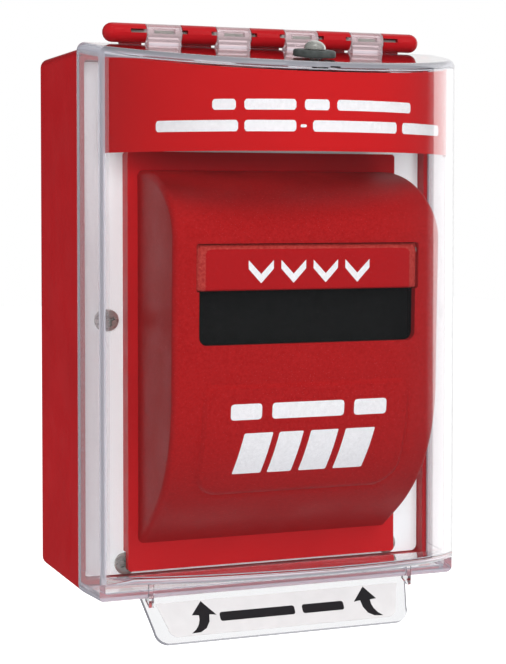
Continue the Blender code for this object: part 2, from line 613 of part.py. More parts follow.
def switch_parts():
    """Switch on its bracket, and the lever under the handle's tail."""
    base_front = -STATION_BASE[1] - GAP
    shelf = [(base_front, 1.2), (base_front, 14.0), (base_front - 1.2, 14.0), (base_front - 1.2, 2.4),
             (-79.5, 2.4), (-79.5, 1.2)]
    bracket = prism("switch_bracket", shelf, "X", -12, 12, "steel")
    for index, x in enumerate((-8.5, 8.5)):
        combine(bracket, rod(f"bracket_hole_{index}", (x, base_front, 8.0), "Y", 1.6, 8, sides=12))
        pan_screw(f"bracket_screw_{index + 1}", x, base_front - 1.2 - GAP, 8.0, 2.4, 1.2, 5.5, head_height=1.6)
    outline = [(-59.8, 2.7), (-59.8, 12.6), (-61.2, 13.2), (-78.8, 13.2), (-79.2, 2.7)]
    body = prism("switch_body", outline, "X", -3.2, 3.2, "black_plastic")
    combine(body, box("switch_button", (-1.2, 1.2), (-70.5, -68.5), (12.8, 13.9)), "UNION")
    lever = box("switch_lever", (-2.2, 2.2), (-LEVER_LENGTH, 0), (-0.25, 0.25), "steel")
    knuckle = rod("lever_knuckle", (0, 0, 0), "X", 0.9, 4.4, sides=12)
    combine(lever, knuckle, "UNION")
    knuckle.parent = lever
    lever.location = Vector((0, LEVER_PIVOT_Y, LEVER_PIVOT_Z)) * MM
    lever.rotation_euler = (-math.radians(LEVER_ANGLE), 0, 0)
    return bracket, body, lever


def terminal_block():
    """Wiring block with four clamps on the station's base."""
    base_front = -STATION_BASE[1] - GAP
    block = box("terminal_block", (17, 45), (base_front - 11, base_front), (-36, -24), "black_plastic")
    for index in range(4):
        x = 20.5 + 7 * index
        combine(block, rod(f"clamp_bore_{index}", (x, base_front - 11, -27.5), "Y", 2.3, 12, sides=14))
        combine(block, box(f"wire_mouth_{index}", (x - 1.7, x + 1.7), (base_front - 8, base_front - 3),
                           (-37, -30)))
        profile = [(0, 1.4), (1.9, 1.2), (1.9, 0), (1.1, 0), (1.1, -3.4), (0, -3.4)]
        clamp = turned(f"terminal_screw_{index + 1}", profile, "brass", steps=14)
        clamp.rotation_euler = (math.radians(90), 0, 0)
        clamp.location = Vector((x, base_front - 9.2, -27.5)) * MM
        combine(clamp, box(f"clamp_slot_{index}", (x - 3, x + 3), (base_front - 12, base_front - 10.2),
                           (-27.8, -27.2)))
    return block


# ---------------------------------------------------------------- cover alarm

def cover_alarm():
    """Small sounder above the station: case, grille, sounder disc, board, battery and reed switch."""
    back = -PLATE_FRONT - GAP
    front = back - 17
    outline = shift(rounded_rectangle(92, 28, 3, 3), v=77.0)
    case = prism("sounder_case", outline, "Y", front, back, "black_plastic")
    hollow = shift(rounded_rectangle(88, 24, 2, 2), v=77.0)
    combine(case, prism("case_hollow", hollow, "Y", front - 1, back - 2))
    grille = prism("sounder_grille", outline, "Y", front - GAP - 1.6, front - GAP, "black_plastic")
    for index in range(6):
        low = 67.6 + 3.6 * index
        combine(grille, box(f"grille_slot_{index}", (-38, -14), (front - 5, front + 1), (low, low + 1.8)))
    board = box("circuit_board", (-42, 6), (back - 4.2, back - 2.6), (66.5, 87.5), "green_board")
    disc = rod("piezo_disc", (-26, back - 8.0, 77), "Y", 9.5, 6.0, "brass", sides=28)
    battery = box("battery", (10, 42), (back - 14, back - 2.6), (66, 88), "steel")
    soft = battery.modifiers.new("Soft edges", "BEVEL")
    soft.width = 1.5 * MM
    soft.segments = 2
    reed = rod("reed_switch", (0, back - 8.0, 77), "X", 1.4, 9.0, "steel", sides=12)
    return case, grille, board, disc, battery, reed


def main():
    start()
    back_box()
    hinge_frame()
    hinge_pin()
    mounting_plate()
    cable_grommet()
    for index, (x, z) in enumerate(PLATE_SCREWS):
        pan_screw(f"plate_screw_{index + 1}", x, -PLATE_FRONT - GAP, z, 4.0, 1.6, 14.0, steps=18, recess=True)
    for index, (x, z) in enumerate(wall_screw_places()):
        pan_screw(f"wall_screw_{index + 1}", x, -BOX_BACK_WALL - GAP, z, 4.4, 2.1, BOX_BACK_WALL, head_height=2.8)
    station_base()
    station_housing()
    finger_recess()
    pull_handle()
    handle_pin()
    switch_parts()
    terminal_block()
    for index, (x, z) in enumerate(station_screw_places()):
        pan_screw(f"station_screw_{index + 1}", x, -STATION_BASE[1] - GAP, z, 3.4, 1.5, 9.0, head_height=2.0)
    cover_shell()
    cover_label()
    tab_label()
    cover_fittings()
    cover_alarm()


main()
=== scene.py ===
"""Looks of the manual call point: fine meshes, procedural materials, studio light and camera.

Metres, in the CAD frame: X to the right, +Y into the wall, +Z up. Outlines are in millimetres.
"""
import math

import bmesh
import bpy
from mathutils import Matrix, Vector


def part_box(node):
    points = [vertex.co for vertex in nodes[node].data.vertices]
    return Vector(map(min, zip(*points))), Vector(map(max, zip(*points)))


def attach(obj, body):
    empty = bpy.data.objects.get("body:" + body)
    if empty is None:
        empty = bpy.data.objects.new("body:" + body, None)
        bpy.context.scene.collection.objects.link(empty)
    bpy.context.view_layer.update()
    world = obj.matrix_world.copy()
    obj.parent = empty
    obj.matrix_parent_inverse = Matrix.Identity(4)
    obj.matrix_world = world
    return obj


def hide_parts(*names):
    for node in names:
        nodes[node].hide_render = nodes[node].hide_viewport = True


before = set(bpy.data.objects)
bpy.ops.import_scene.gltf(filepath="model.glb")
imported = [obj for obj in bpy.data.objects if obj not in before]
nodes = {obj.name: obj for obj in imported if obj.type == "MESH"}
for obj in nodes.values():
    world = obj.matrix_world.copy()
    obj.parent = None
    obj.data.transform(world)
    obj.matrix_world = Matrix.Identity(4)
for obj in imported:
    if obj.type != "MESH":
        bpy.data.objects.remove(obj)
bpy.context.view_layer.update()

MM = 0.001

# Driving dimensions shared with the CAD, in millimetres
BOX_WIDTH, BOX_HEIGHT, BOX_DEPTH = 143.0, 195.0, 51.5
BARREL_Y, BARREL_Z, BARREL_RADIUS = -53.0, 103.1, 3.5
KNUCKLE, BARREL_END, WEB_INSET, GAP = 13.35, 59.1, 0.4, 0.3
PIN_BORE = 1.6
COVER_BACK, COVER_WALL = 51.8, 2.5
RIM_DEPTH, RIM_DRAFT = 18.7, 2.5
DOME_RADIUS, DOME_CENTRE = 74.6, 42.1
TOP_Z, TOP_SLOPE, BOTTOM_SLOPE, DOME_BOTTOM_Z = 99.45, 0.158, 0.167, -91.0
COVER_CORNER, COVER_EDGE, RIM_EDGE = 3.2, 2.2, 2.4
LABEL_BOTTOM_Z, LABEL_HALF_WIDTH = 59.5, 66.2
RIVET_Y, WASHER_HEIGHT = -98.5, 2.9
STATION_FRONT = 53.6
HOUSING_WIDTH, HOUSING_WALL, HOUSING_FILLET = 98.8, 2.5, 2.2
HANDLE_BOTTOM_Z, HANDLE_HALF_WIDTH, HANDLE_END_ROUND = 12.2, 41.2, 3.0
HANDLE_PIVOT_Y, HANDLE_PIVOT_Z, HANDLE_ROUND, HANDLE_BORE = -92.0, 25.6, 2.6, 1.3
RECESS_HALF_WIDTH, RECESS_BOTTOM_Z = 40.3, -6.5


# ---------------------------------------------------------------- mesh tools

def finished(name, work, sharp=32):
    """A mesh object from a bmesh, smooth except at edges over the given angle."""
    bmesh.ops.recalc_face_normals(work, faces=work.faces)
    mesh = bpy.data.meshes.new(name)
    work.to_mesh(mesh)
    work.free()
    mesh.shade_smooth()
    mesh.set_sharp_from_angle(angle=math.radians(sharp))
    made = bpy.data.objects.new(name, mesh)
    bpy.context.scene.collection.objects.link(made)
    return made


def box(name, x, y, z):
    work = bmesh.new()
    size = Matrix.Diagonal((*((high - low) * MM for low, high in (x, y, z)), 1.0))
    centre = Matrix.Translation([(low + high) / 2 * MM for low, high in (x, y, z)])
    bmesh.ops.create_cube(work, size=1.0, matrix=centre @ size)
    return finished(name, work)


def prism(name, outline, axis, low, high):
    """An outline swept along X, Y or Z; the outline's two numbers are the other two axes."""
    place = {"X": lambda u, v, w: (w, u, v), "Y": lambda u, v, w: (u, w, v), "Z": lambda u, v, w: (u, v, w)}[axis]
    work = bmesh.new()
    face = work.faces.new([work.verts.new(Vector(place(u, v, low)) * MM) for u, v in outline])
    swept = bmesh.ops.extrude_face_region(work, geom=[face])
    moved = [item for item in swept["geom"] if isinstance(item, bmesh.types.BMVert)]
    bmesh.ops.translate(work, verts=moved, vec=Vector(place(0, 0, high - low)) * MM)
    return finished(name, work)


def rod(name, centre, axis, radius, length, sides=48):
    turn = {"X": Matrix.Rotation(math.pi / 2, 4, "Y"), "Y": Matrix.Rotation(math.pi / 2, 4, "X"),
            "Z": Matrix.Identity(4)}[axis]
    work = bmesh.new()
    bmesh.ops.create_cone(work, cap_ends=True, segments=sides, radius1=radius * MM, radius2=radius * MM,
                          depth=length * MM, matrix=Matrix.Translation(Vector(centre) * MM) @ turn)
    return finished(name, work)


def turned(name, profile, steps=64, sharp=40):
    """A solid of revolution about Z from (radius, height) points that start and end on the axis or close."""
    work = bmesh.new()
    rings = []
    for radius, height in profile:
        if radius < 0.001:
            rings.append([work.verts.new((0, 0, height * MM))])
            continue
        turns = [2 * math.pi * step / steps for step in range(steps)]
        rings.append([work.verts.new((radius * MM * math.cos(a), radius * MM * math.sin(a), height * MM)) for a in turns])
    closed = profile[0][0] >= 0.001 and profile[-1] != profile[0]
    pairs = list(zip(rings, rings[1:] + ([rings[0]] if closed else [])))
    for upper, lower in pairs if closed else list(zip(rings, rings[1:])):
        for step in range(steps):
            after = (step + 1) % steps
            corners = [upper[step % len(upper)], lower[step % len(lower)], lower[after % len(lower)], upper[after % len(upper)]]
            unique = list(dict.fromkeys(corners))
            if len(unique) > 2:
                work.faces.new(unique)
    return finished(name, work, sharp)


def combine(target, tool, operation="DIFFERENCE"):
    """Cut or join at once, and remove the tool."""
    step = target.modifiers.new("Boolean", "BOOLEAN")
    step.operation = operation
    step.solver = "EXACT"
    step.object = tool
    settle(target)
    bpy.data.objects.remove(tool, do_unlink=True)
    return target


def settle(target):
    """Apply an object's modifiers to its mesh."""
    bpy.context.view_layer.update()
    graph = bpy.context.evaluated_depsgraph_get()
    mesh = bpy.data.meshes.new_from_object(target.evaluated_get(graph))
    target.modifiers.clear()
    target.data = mesh


def resharpen(target, sharp=32):
    work = bmesh.new()
    work.from_mesh(target.data)
    bmesh.ops.remove_doubles(work, verts=work.verts, dist=1e-6)
    bmesh.ops.recalc_face_normals(work, faces=work.faces)
    work.to_mesh(target.data)
    work.free()
    target.data.shade_smooth()
    target.data.set_sharp_from_angle(angle=math.radians(sharp))
    even = target.modifiers.new("Even normals", "WEIGHTED_NORMAL")
    even.keep_sharp = True
    return target


def rounded_rectangle(width, height, radii, steps=8, centre=(0.0, 0.0)):
    """Corner points, anticlockwise from the lower right; radii is one number or (lower, upper)."""
    low, high = radii if isinstance(radii, tuple) else (radii, radii)
    points = []
    for turn, (sx, sz) in enumerate(((1, -1), (1, 1), (-1, 1), (-1, -1))):
        radius = high if sz > 0 else low
        for step in range(steps + 1):
            angle = math.radians(90 * (turn - 1) + 90 * step / steps)
            points.append((centre[0] + sx * (width / 2 - radius) + radius * math.cos(angle),
                           centre[1] + sz * (height / 2 - radius) + radius * math.sin(angle)))
    return points


def offset_outline(points, distance):
    area = sum(a[0] * b[1] - b[0] * a[1] for a, b in zip(points, points[1:] + points[:1]))
    side = math.copysign(1.0, area)
    moved = []
    for index, point in enumerate(points):
        before = (Vector(point) - Vector(points[index - 1])).normalized()
        after = (Vector(points[(index + 1) % len(points)]) - Vector(point)).normalized()
        normal_before = Vector((-before.y, before.x)) * side
        normal_after = Vector((-after.y, after.x)) * side
        mitre = (normal_before + normal_after).normalized()
        moved.append(tuple(Vector(point) + mitre * distance / max(mitre.dot(normal_after), 0.3)))
    return moved


def smoothstep(value):
    value = max(0.0, min(1.0, value))
    return value * value * (3 - 2 * value)


def inside_rectangle(x, z, rectangle, radii):
    """Distance inside a rounded rectangle's edge, negative outside; rectangle is (x0, x1, z0, z1)."""
    x0, x1, z0, z1 = rectangle
    middle_x, middle_z = (x0 + x1) / 2, (z0 + z1) / 2
    radius = radii[1] if z > middle_z else radii[0]
    dx = abs(x - middle_x) - (x1 - x0) / 2 + radius
    dz = abs(z - middle_z) - (z1 - z0) / 2 + radius
    return radius - math.hypot(max(dx, 0), max(dz, 0)) - min(max(dx, dz), 0)


# ---------------------------------------------------------------- materials

class Recipe:
    """A procedural material under construction, with its Principled shader."""

    def __init__(self, name, colour, roughness, metallic=0.0, specular=0.5):
        self.material = bpy.data.materials.new(name)
        self.material.use_nodes = True
        self.tree = self.material.node_tree
        self.shader = self.tree.nodes["Principled BSDF"]
        self.base = colour
        self.shader.inputs["Base Color"].default_value = (*colour, 1.0)
        self.shader.inputs["Roughness"].default_value = roughness
        self.shader.inputs["Metallic"].default_value = metallic
        self.shader.inputs["Specular IOR Level"].default_value = specular
        self.place = self.tree.nodes.new("ShaderNodeTexCoord").outputs["Object"]
        self.normal = None

    def link(self, source, target):
        self.tree.links.new(source, target)

    def stretched(self, scale):
        mapping = self.tree.nodes.new("ShaderNodeMapping")
        mapping.inputs["Scale"].default_value = scale
        self.link(self.place, mapping.inputs["Vector"])
        return mapping.outputs["Vector"]

    def noise(self, scale, detail=3.0, roughness=0.5, stretch=None):
        made = self.tree.nodes.new("ShaderNodeTexNoise")
        made.inputs["Scale"].default_value = scale
        made.inputs["Detail"].default_value = detail
        made.inputs["Roughness"].default_value = roughness
        self.link(self.stretched(stretch) if stretch else self.place, made.inputs["Vector"])
        return made.outputs["Fac"]

    def cells(self, scale, feature="F1"):
        made = self.tree.nodes.new("ShaderNodeTexVoronoi")
        made.feature = feature
        made.inputs["Scale"].default_value = scale
        self.link(self.place, made.inputs["Vector"])
        return made.outputs["Distance"]

    def ranged(self, value, from_low, from_high, to_low, to_high):
        made = self.tree.nodes.new("ShaderNodeMapRange")
        for socket, number in zip(("From Min", "From Max", "To Min", "To Max"), (from_low, from_high, to_low, to_high)):
            made.inputs[socket].default_value = number
        self.link(value, made.inputs["Value"])
        return made.outputs["Result"]

    def tint(self, value, dark, light, low=0.3, high=0.7):
        """Vary the colour between two multiples of the base colour."""
        ramp = self.tree.nodes.new("ShaderNodeValToRGB")
        for element, share, place in zip(ramp.color_ramp.elements, (dark, light), (low, high)):
            factors = share if isinstance(share, tuple) else (share,) * 3
            element.color = (*(min(1.0, c * f) for c, f in zip(self.base, factors)), 1.0)
            element.position = place
        self.link(value, ramp.inputs["Fac"])
        self.link(ramp.outputs["Color"], self.shader.inputs["Base Color"])
        return ramp

    def rough(self, value, low, high, from_low=0.3, from_high=0.7):
        self.link(self.ranged(value, from_low, from_high, low, high), self.shader.inputs["Roughness"])

    def bump(self, height, distance, strength=1.0):
        made = self.tree.nodes.new("ShaderNodeBump")
        made.inputs["Strength"].default_value = strength
        made.inputs["Distance"].default_value = distance
        self.link(height, made.inputs["Height"])
        if self.normal:
            self.link(self.normal, made.inputs["Normal"])
        self.normal = made.outputs["Normal"]
        self.link(self.normal, self.shader.inputs["Normal"])


def moulded_red():
    """Satin red plastic with a faint orange peel and soft flow marks."""
    made = Recipe("moulded_red", (0.42, 0.0085, 0.0125), 0.38, specular=0.25)
    made.tint(made.noise(26, 3), 0.93, 1.05)
    made.rough(made.noise(70, 2), 0.32, 0.44)
    made.bump(made.noise(900, 2), 0.00003, 0.5)
    made.bump(made.noise(120, 2), 0.00008, 0.35)
    return made.material


def spark_red():
    """Red plastic with the fine spark-eroded texture of the station's face."""
    made = Recipe("spark_red", (0.395, 0.0058, 0.0064), 0.44, specular=0.18)
    made.tint(made.noise(1250, 3, 0.75), (0.85, 0.8, 0.8), (1.12, 2.0, 1.9), 0.36, 0.66)
    made.rough(made.noise(60, 3), 0.38, 0.5)
    made.bump(made.noise(1400, 3, 0.7), 0.00008, 0.8)
    made.bump(made.noise(40, 2), 0.0002, 0.12)
    return made.material


def plate_red_painted_light():
    """Red of the station's base: the moulded red made brighter as painted light, lifting the base where the housing
    shades it.
    """
    made = Recipe("plate_red_painted_light", (0.56, 0.0115, 0.0145), 0.4, specular=0.25)
    made.tint(made.noise(30, 3), 0.93, 1.05)
    made.rough(made.noise(90, 2), 0.34, 0.46)
    made.bump(made.noise(1000, 2), 0.00003, 0.5)
    return made.material


def film_red():
    """Smooth red of the printed film on the cover."""
    made = Recipe("film_red", (0.56, 0.0095, 0.011), 0.42, specular=0.2)
    made.tint(made.noise(18, 3), 0.95, 1.04)
    made.rough(made.noise(240, 2), 0.38, 0.46)
    made.bump(made.noise(1200, 2), 0.00001, 0.3)
    return made.material


def groove_red():
    """Coarser, paler texture of the channel round the pull bar."""
    made = Recipe("groove_red", (0.43, 0.028, 0.024), 0.5, specular=0.4)
    made.tint(made.noise(1300, 3, 0.7), (0.8, 0.5, 0.5), (1.2, 2.2, 2.0), 0.36, 0.66)
    made.rough(made.noise(300, 2), 0.42, 0.58)
    made.bump(made.noise(1400, 2, 0.6), 0.0001, 0.9)
    return made.material


def smooth_red():
    """The pull bar's plain face."""
    made = Recipe("smooth_red", (0.40, 0.0065, 0.0085), 0.4, specular=0.22)
    made.tint(made.noise(900, 2), 0.95, 1.06)
    made.rough(made.noise(80, 2), 0.36, 0.46)
    made.bump(made.noise(1300, 2), 0.00003, 0.4)
    return made.material


def white_plastic():
    made = Recipe("white_plastic", (0.90, 0.97, 0.98), 0.42, specular=0.35)
    # Painted glow: a faint white emission brightens the plate, which is no lamp.
    made.shader.inputs["Emission Color"].default_value = (1, 1, 1, 1)
    made.shader.inputs["Emission Strength"].default_value = 0.13
    made.tint(made.noise(15, 3), 0.96, 1.03)
    made.rough(made.noise(90, 2), 0.38, 0.48)
    made.bump(made.noise(800, 2), 0.00003, 0.4)
    return made.material


def matt_black():
    made = Recipe("matt_black", (0.0075, 0.0085, 0.0080), 0.62, specular=0.18)
    made.tint(made.noise(700, 3), 0.8, 1.35)
    made.rough(made.noise(200, 2), 0.55, 0.7)
    made.bump(made.noise(1400, 3), 0.00005, 0.5)
    return made.material


def dark_rubber():
    made = Recipe("dark_rubber", (0.060, 0.068, 0.066), 0.6, specular=0.4)
    made.tint(made.noise(500, 3), 0.8, 1.3)
    made.rough(made.noise(300, 2), 0.5, 0.68)
    made.bump(made.noise(1000, 3), 0.00005, 0.5)
    return made.material


def bright_steel(name="bright_steel", colour=(0.50, 0.50, 0.47), roughness=0.28):
    """Plated steel with fine turning or rolling marks."""
    made = Recipe(name, colour, roughness, metallic=0.55)
    made.tint(made.noise(120, 4), 0.86, 1.1)
    made.rough(made.noise(900, 3, stretch=(0.15, 1.0, 1.0)), roughness * 0.75, roughness * 1.35)
    made.bump(made.noise(1500, 2, stretch=(0.1, 1.0, 1.0)), 0.00002, 0.5)
    return made.material


def brass():
    made = Recipe("brass", (0.62, 0.44, 0.18), 0.3, metallic=1.0)
    made.tint(made.noise(200, 3), 0.85, 1.1)
    made.rough(made.noise(700, 2), 0.24, 0.4)
    made.bump(made.noise(1600, 2), 0.00002, 0.4)
    return made.material


def board_green():
    """Solder-mask green with faint tracks."""
    made = Recipe("board_green", (0.02, 0.17, 0.07), 0.35, specular=0.5)
    made.tint(made.cells(260, "DISTANCE_TO_EDGE"), 1.5, 0.85, 0.02, 0.12)
    made.rough(made.noise(300, 2), 0.28, 0.42)
    made.bump(made.noise(700, 2), 0.00004, 0.5)
    return made.material


def battery_sleeve():
    made = Recipe("battery_sleeve", (0.045, 0.055, 0.09), 0.4)
    made.tint(made.noise(30, 2), 0.85, 1.15)
    made.rough(made.noise(150, 2), 0.32, 0.46)
    made.bump(made.noise(600, 2), 0.00003, 0.4)
    return made.material


def print_paint(name, colour):
    made = Recipe(name, colour, 0.5, specular=0.3)
    made.tint(made.noise(900, 2), 0.94, 1.04)
    made.rough(made.noise(400, 2), 0.45, 0.55)
    made.bump(made.noise(1500, 2), 0.00001, 0.4)
    return made.material


def white_film():
    made = Recipe("white_film", (0.65, 0.64, 0.645), 0.5, specular=0.1)
    made.tint(made.noise(200, 2), 0.97, 1.02)
    made.rough(made.noise(500, 2), 0.4, 0.5)
    made.bump(made.noise(1400, 2), 0.00001, 0.4)
    return made.material


def clear_plastic(name="clear_plastic", colour=(0.972, 0.976, 0.99), ior=1.5, clarity=1.0):
    """Clear plastic that lets lamps through; a lower clarity mixes in a lit, tinted surface: painted reflection on the
    cover's edges and sides and painted red seen through its knuckles.
    """
    made = Recipe(name, colour, 0.01)
    made.shader.inputs["Transmission Weight"].default_value = clarity
    made.shader.inputs["IOR"].default_value = ior
    made.rough(made.noise(60, 2), 0.006, 0.022)
    made.bump(made.noise(45, 2), 0.0001, 0.10)
    through = made.tree.nodes.new("ShaderNodeBsdfTransparent")
    path = made.tree.nodes.new("ShaderNodeLightPath")
    mix = made.tree.nodes.new("ShaderNodeMixShader")
    made.link(path.outputs["Is Shadow Ray"], mix.inputs["Fac"])
    made.link(made.shader.outputs["BSDF"], mix.inputs[1])
    made.link(through.outputs["BSDF"], mix.inputs[2])
    made.link(mix.outputs["Shader"], made.tree.nodes["Material Output"].inputs["Surface"])
    return made.material


MATERIALS = {
    "red": moulded_red(), "spark": spark_red(), "film": film_red(), "smooth": smooth_red(),
    "groove": groove_red(), "plate": plate_red_painted_light(),
    "white": white_plastic(), "black": matt_black(), "rubber": dark_rubber(), "steel": bright_steel(),
    "zinc": bright_steel("zinc_sheet", (0.52, 0.53, 0.56), 0.34),
    "magnet": bright_steel("magnet_plating", (0.58, 0.58, 0.61), 0.16), "brass": brass(),
    "board": board_green(), "battery": battery_sleeve(), "clear": clear_plastic(),
    "reed": clear_plastic("reed_glass", (0.75, 0.9, 0.85), 1.5),
    # Painted reflection: a grey-lavender veil on the cover's rounded edges and open end.
    "clear_edge_painted_veil": clear_plastic("clear_edge_painted_veil", (0.60, 0.60, 0.67), 1.5, 0.62),
    # Painted reflection: a pinkish veil on the cover's side walls.
    "clear_side_painted_veil": clear_plastic("clear_side_painted_veil", (0.80, 0.76, 0.79), 1.5, 0.86),
    # Painted red: a pink tint standing in for the red parts seen through the clear knuckles.
    "clear_knuckle_painted_red": clear_plastic("clear_knuckle_painted_red", (0.80, 0.66, 0.69), 1.5, 0.72),
    "white_print": print_paint("white_print", (0.88, 0.88, 0.88)),
    "black_print": print_paint("black_print", (0.016, 0.015, 0.017)), "white_film": white_film(),
}


def give(piece, material):
    piece.data.materials.clear()
    piece.data.materials.append(MATERIALS[material])


def publish(piece, body, material=None, replaces=()):
    """Make a piece part of the object: its material, slot, body and the CAD nodes that it stands for."""
    if material:
        give(piece, material)
    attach(piece, body)
    if replaces:
        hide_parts(*replaces)
    return piece


# ---------------------------------------------------------------- clear cover

def knuckle_spans(red):
    edges = [KNUCKLE * (index - 4.5) for index in range(10)]
    spans = []
    for index, (low, high) in enumerate(zip(edges, edges[1:])):
        if (index % 2 == 0) == red:
            spans.append((-BARREL_END if index == 0 else low, BARREL_END if index == 8 else high))
    return spans


def dome_arc(radius, half_width, steps):
    reach = math.asin(half_width / radius)
    angles = [reach * (1 - 2 * step / steps) for step in range(steps + 1)]
    return [(radius * math.sin(angle), -DOME_CENTRE - radius * math.cos(angle)) for angle in angles]


def top_line(y):
    return TOP_Z + TOP_SLOPE * (y + BOX_DEPTH)


def bottom_line(y):
    return DOME_BOTTOM_Z - BOTTOM_SLOPE * (y + COVER_BACK + RIM_DEPTH)


def cover_solid(name, inset, dome_steps=96, fillet_steps=8):
    """Rounded block of the cover, lofted upward through plan rings that share their corners."""
    half_back = BOX_WIDTH / 2 - inset
    half_front = half_back - RIM_DRAFT
    back = -COVER_BACK + (1.0 if inset else 0.0)
    rim_front = -COVER_BACK - RIM_DEPTH + inset
    low = -BOX_HEIGHT / 2 + inset
    side_round = COVER_CORNER - inset / 2
    front_round, rim_round = (0.5, 1.0) if inset else (COVER_EDGE, RIM_EDGE)
    arc = dome_arc(DOME_RADIUS - inset, half_front, dome_steps)

    def rounding(x):
        blend = max(0.0, (abs(x) / half_front - 0.8) / 0.2)
        return front_round + (side_round - front_round) * blend * blend

    def ring(points, normals, radii, height, angle):
        placed = []
        for (x, y), (nx, ny), radius in zip(points, normals, radii):
            inward = radius * (1 - math.sin(angle))
            x, y = x - nx * inward, y - ny * inward
            placed.append(Vector((x, y, height(y, radius * (1 - math.cos(angle))))) * MM)
        return placed

    corners = [(-half_back, back), (half_back, back)]
    corner_normals = [(-1.0, 0.0), (1.0, 0.0)]
    squeeze = 1 - (rim_round + 0.3) / half_front
    flat = corners + [(x if abs(x) > half_front - 0.01 else x * squeeze, rim_front) for x, _ in arc]
    flat_normals = corner_normals + [(x / half_front, -1.0) if abs(x) > half_front - 0.01 else (0.0, -1.0)
                                     for x, _ in arc]
    bowed = corners + arc
    reach = DOME_RADIUS - inset
    bowed_normals = corner_normals + [(x / reach, (y + DOME_CENTRE) / reach) for x, y in arc]
    rim_radii = [side_round] * 2 + [rim_round] * len(arc)
    under_radii = [0.0] * 2 + [front_round * min(1.0, (half_front - abs(x)) / 8.0) for x, _ in arc]
    top_radii = [side_round] * 2 + [rounding(x) for x, _ in arc]
    quarter = [math.radians(90 * step / fillet_steps) for step in range(fillet_steps + 1)]

    rings = [ring(flat, flat_normals, rim_radii, lambda y, rise: low + rise, angle) for angle in quarter]
    ledge = bottom_line(rim_front) + inset
    rings.append([Vector((x, y, ledge)) * MM for x, y in flat])
    for step, angle in enumerate(quarter):
        lift = 1.6 * (step + 1) / (fillet_steps + 1)
        placed = ring(bowed, bowed_normals, under_radii,
                      lambda y, rise: max(bottom_line(min(y, rim_front)) + inset + rise, ledge), angle)
        for index in (0, 1, 2, len(placed) - 1):
            placed[index].z = (ledge + lift) * MM
        rings.append(placed)
    for angle in reversed(quarter):
        rings.append(ring(bowed, bowed_normals, top_radii, lambda y, drop: top_line(y) - inset - drop, angle))

    work = bmesh.new()
    rows = [[work.verts.new(point) for point in points] for points in rings]
    count = len(rows[0])
    for lower, upper in zip(rows, rows[1:]):
        for index in range(count):
            after = (index + 1) % count
            work.faces.new((lower[index], lower[after], upper[after], upper[index]))
    work.faces.new(rows[0])
    work.faces.new(rows[-1])
    return finished(name, work)


def tab_matrix(y, z):
    """Place of something on the tilted lift tab: its own X and Z lie in the tab's face."""
    return Matrix.Translation(Vector((0, y, z)) * MM) @ Matrix.Rotation(-math.atan2(11.2, 16.6), 4, "X")


def lift_tab():
    length, thick, corner = math.hypot(16.6, 11.2), 2.0, 5.0
    outline = [(52.5, 0.0), (-52.5, 0.0)]
    for side in (-1, 1):
        for step in range(9):
            angle = math.radians(90 * step / 8 if side > 0 else 90 * (8 - step) / 8)
            outline.append((side * (44.3 + corner * math.sin(angle)), -(length - corner + corner * math.cos(angle))))
    tab = prism("lift_tab", outline, "Y", -thick / 2, thick / 2)
    tab.data.transform(tab_matrix(-62.8, -96.6))
    return tab


def clear_cover():
    """Clear cover in one moulding, at a finer step than the CAD."""
    shell = cover_solid("clear_cover", 0.0)
    combine(shell, cover_solid("cover_hollow", COVER_WALL))
    combine(shell, lift_tab(), "UNION")
    for side in (-1, 1):
        rib = [(-69.5, -91.6), (-71.8, -91.6), (-71.4, -100.2), (-67.0, -98.4)]
        combine(shell, prism("tab_rib", rib, "X", side * 50.4 - 0.9, side * 50.4 + 0.9), "UNION")
    web_front = BARREL_Y - BARREL_RADIUS
    web = [(web_front + 0.6, BARREL_Z + 0.4), (web_front - 0.4, top_line(web_front) - 0.9),
           (-COVER_BACK - 0.7, top_line(-COVER_BACK) - 1.3), (-COVER_BACK - 0.3, BARREL_Z - 4.7),
           (BARREL_Y + 1.3, BARREL_Z - 2.6)]
    for low, high in knuckle_spans(red=False):
        low, high = low + GAP / 2, high - GAP / 2
        middle, centre = (low + high) / 2, ((low + high) / 2, BARREL_Y, BARREL_Z)
        combine(shell, prism("clear_web", web, "X", low + WEB_INSET, high - WEB_INSET), "UNION")
        combine(shell, rod("clear_barrel", centre, "X", BARREL_RADIUS * 0.997, high - low), "UNION")
        combine(shell, rod("clear_bore", centre, "X", PIN_BORE, high - low + 0.2, sides=32))
        combine(shell, box("clear_window", (middle - 4.0, middle + 4.0), (BARREL_Y - 6, BARREL_Y - 1),
                           (BARREL_Z - 0.2, BARREL_Z + 1.4)))
    combine(shell, rod("rivet_hole", (0, RIVET_Y, 90), "Z", 2.6, 16))
    low = -BOX_HEIGHT / 2
    chamfer = [(-COVER_BACK - 2.3, low - 0.5), (-COVER_BACK + 1, low - 0.5), (-COVER_BACK + 1, low + 2.8)]
    combine(shell, prism("rear_chamfer", chamfer, "X", -80, 80))
    resharpen(shell)
    shell.data.materials.clear()
    for name in ("clear", "clear_edge_painted_veil", "clear_knuckle_painted_red", "clear_side_painted_veil"):
        shell.data.materials.append(MATERIALS[name])
    # Knuckle, edge and side faces take the tinted copies: painted red seen through and painted reflection veils.
    for polygon in shell.data.polygons:
        spot, normal = polygon.center / MM, polygon.normal
        if spot.z > BARREL_Z - BARREL_RADIUS:
            polygon.material_index = 2
        elif is_edge(spot, normal):
            polygon.material_index = 1
        elif abs(normal.x) > 0.9 and abs(spot.x) > 60:
            polygon.material_index = 3
    publish(shell, "cover", None, ["cover_shell"])


def is_edge(spot, normal):
    """Whether a face of the clear cover lies on a rounded edge, its open end or the tab's rim."""
    if spot.z < -97.6:
        return abs(normal.y * 16.6 - normal.z * 11.2) < 0.5 * 20.03
    rear = normal.y > 0.5 and spot.y > -COVER_BACK - 3
    rounded = 0.2 < abs(normal.z) < 0.965 and abs(normal.y) < 0.96
    upright = abs(spot.x) > BOX_WIDTH / 2 - RIM_DRAFT - 1.4 and spot.y < -COVER_BACK - RIM_DEPTH + 3 and abs(normal.x) < 0.98
    return rear or rounded or upright


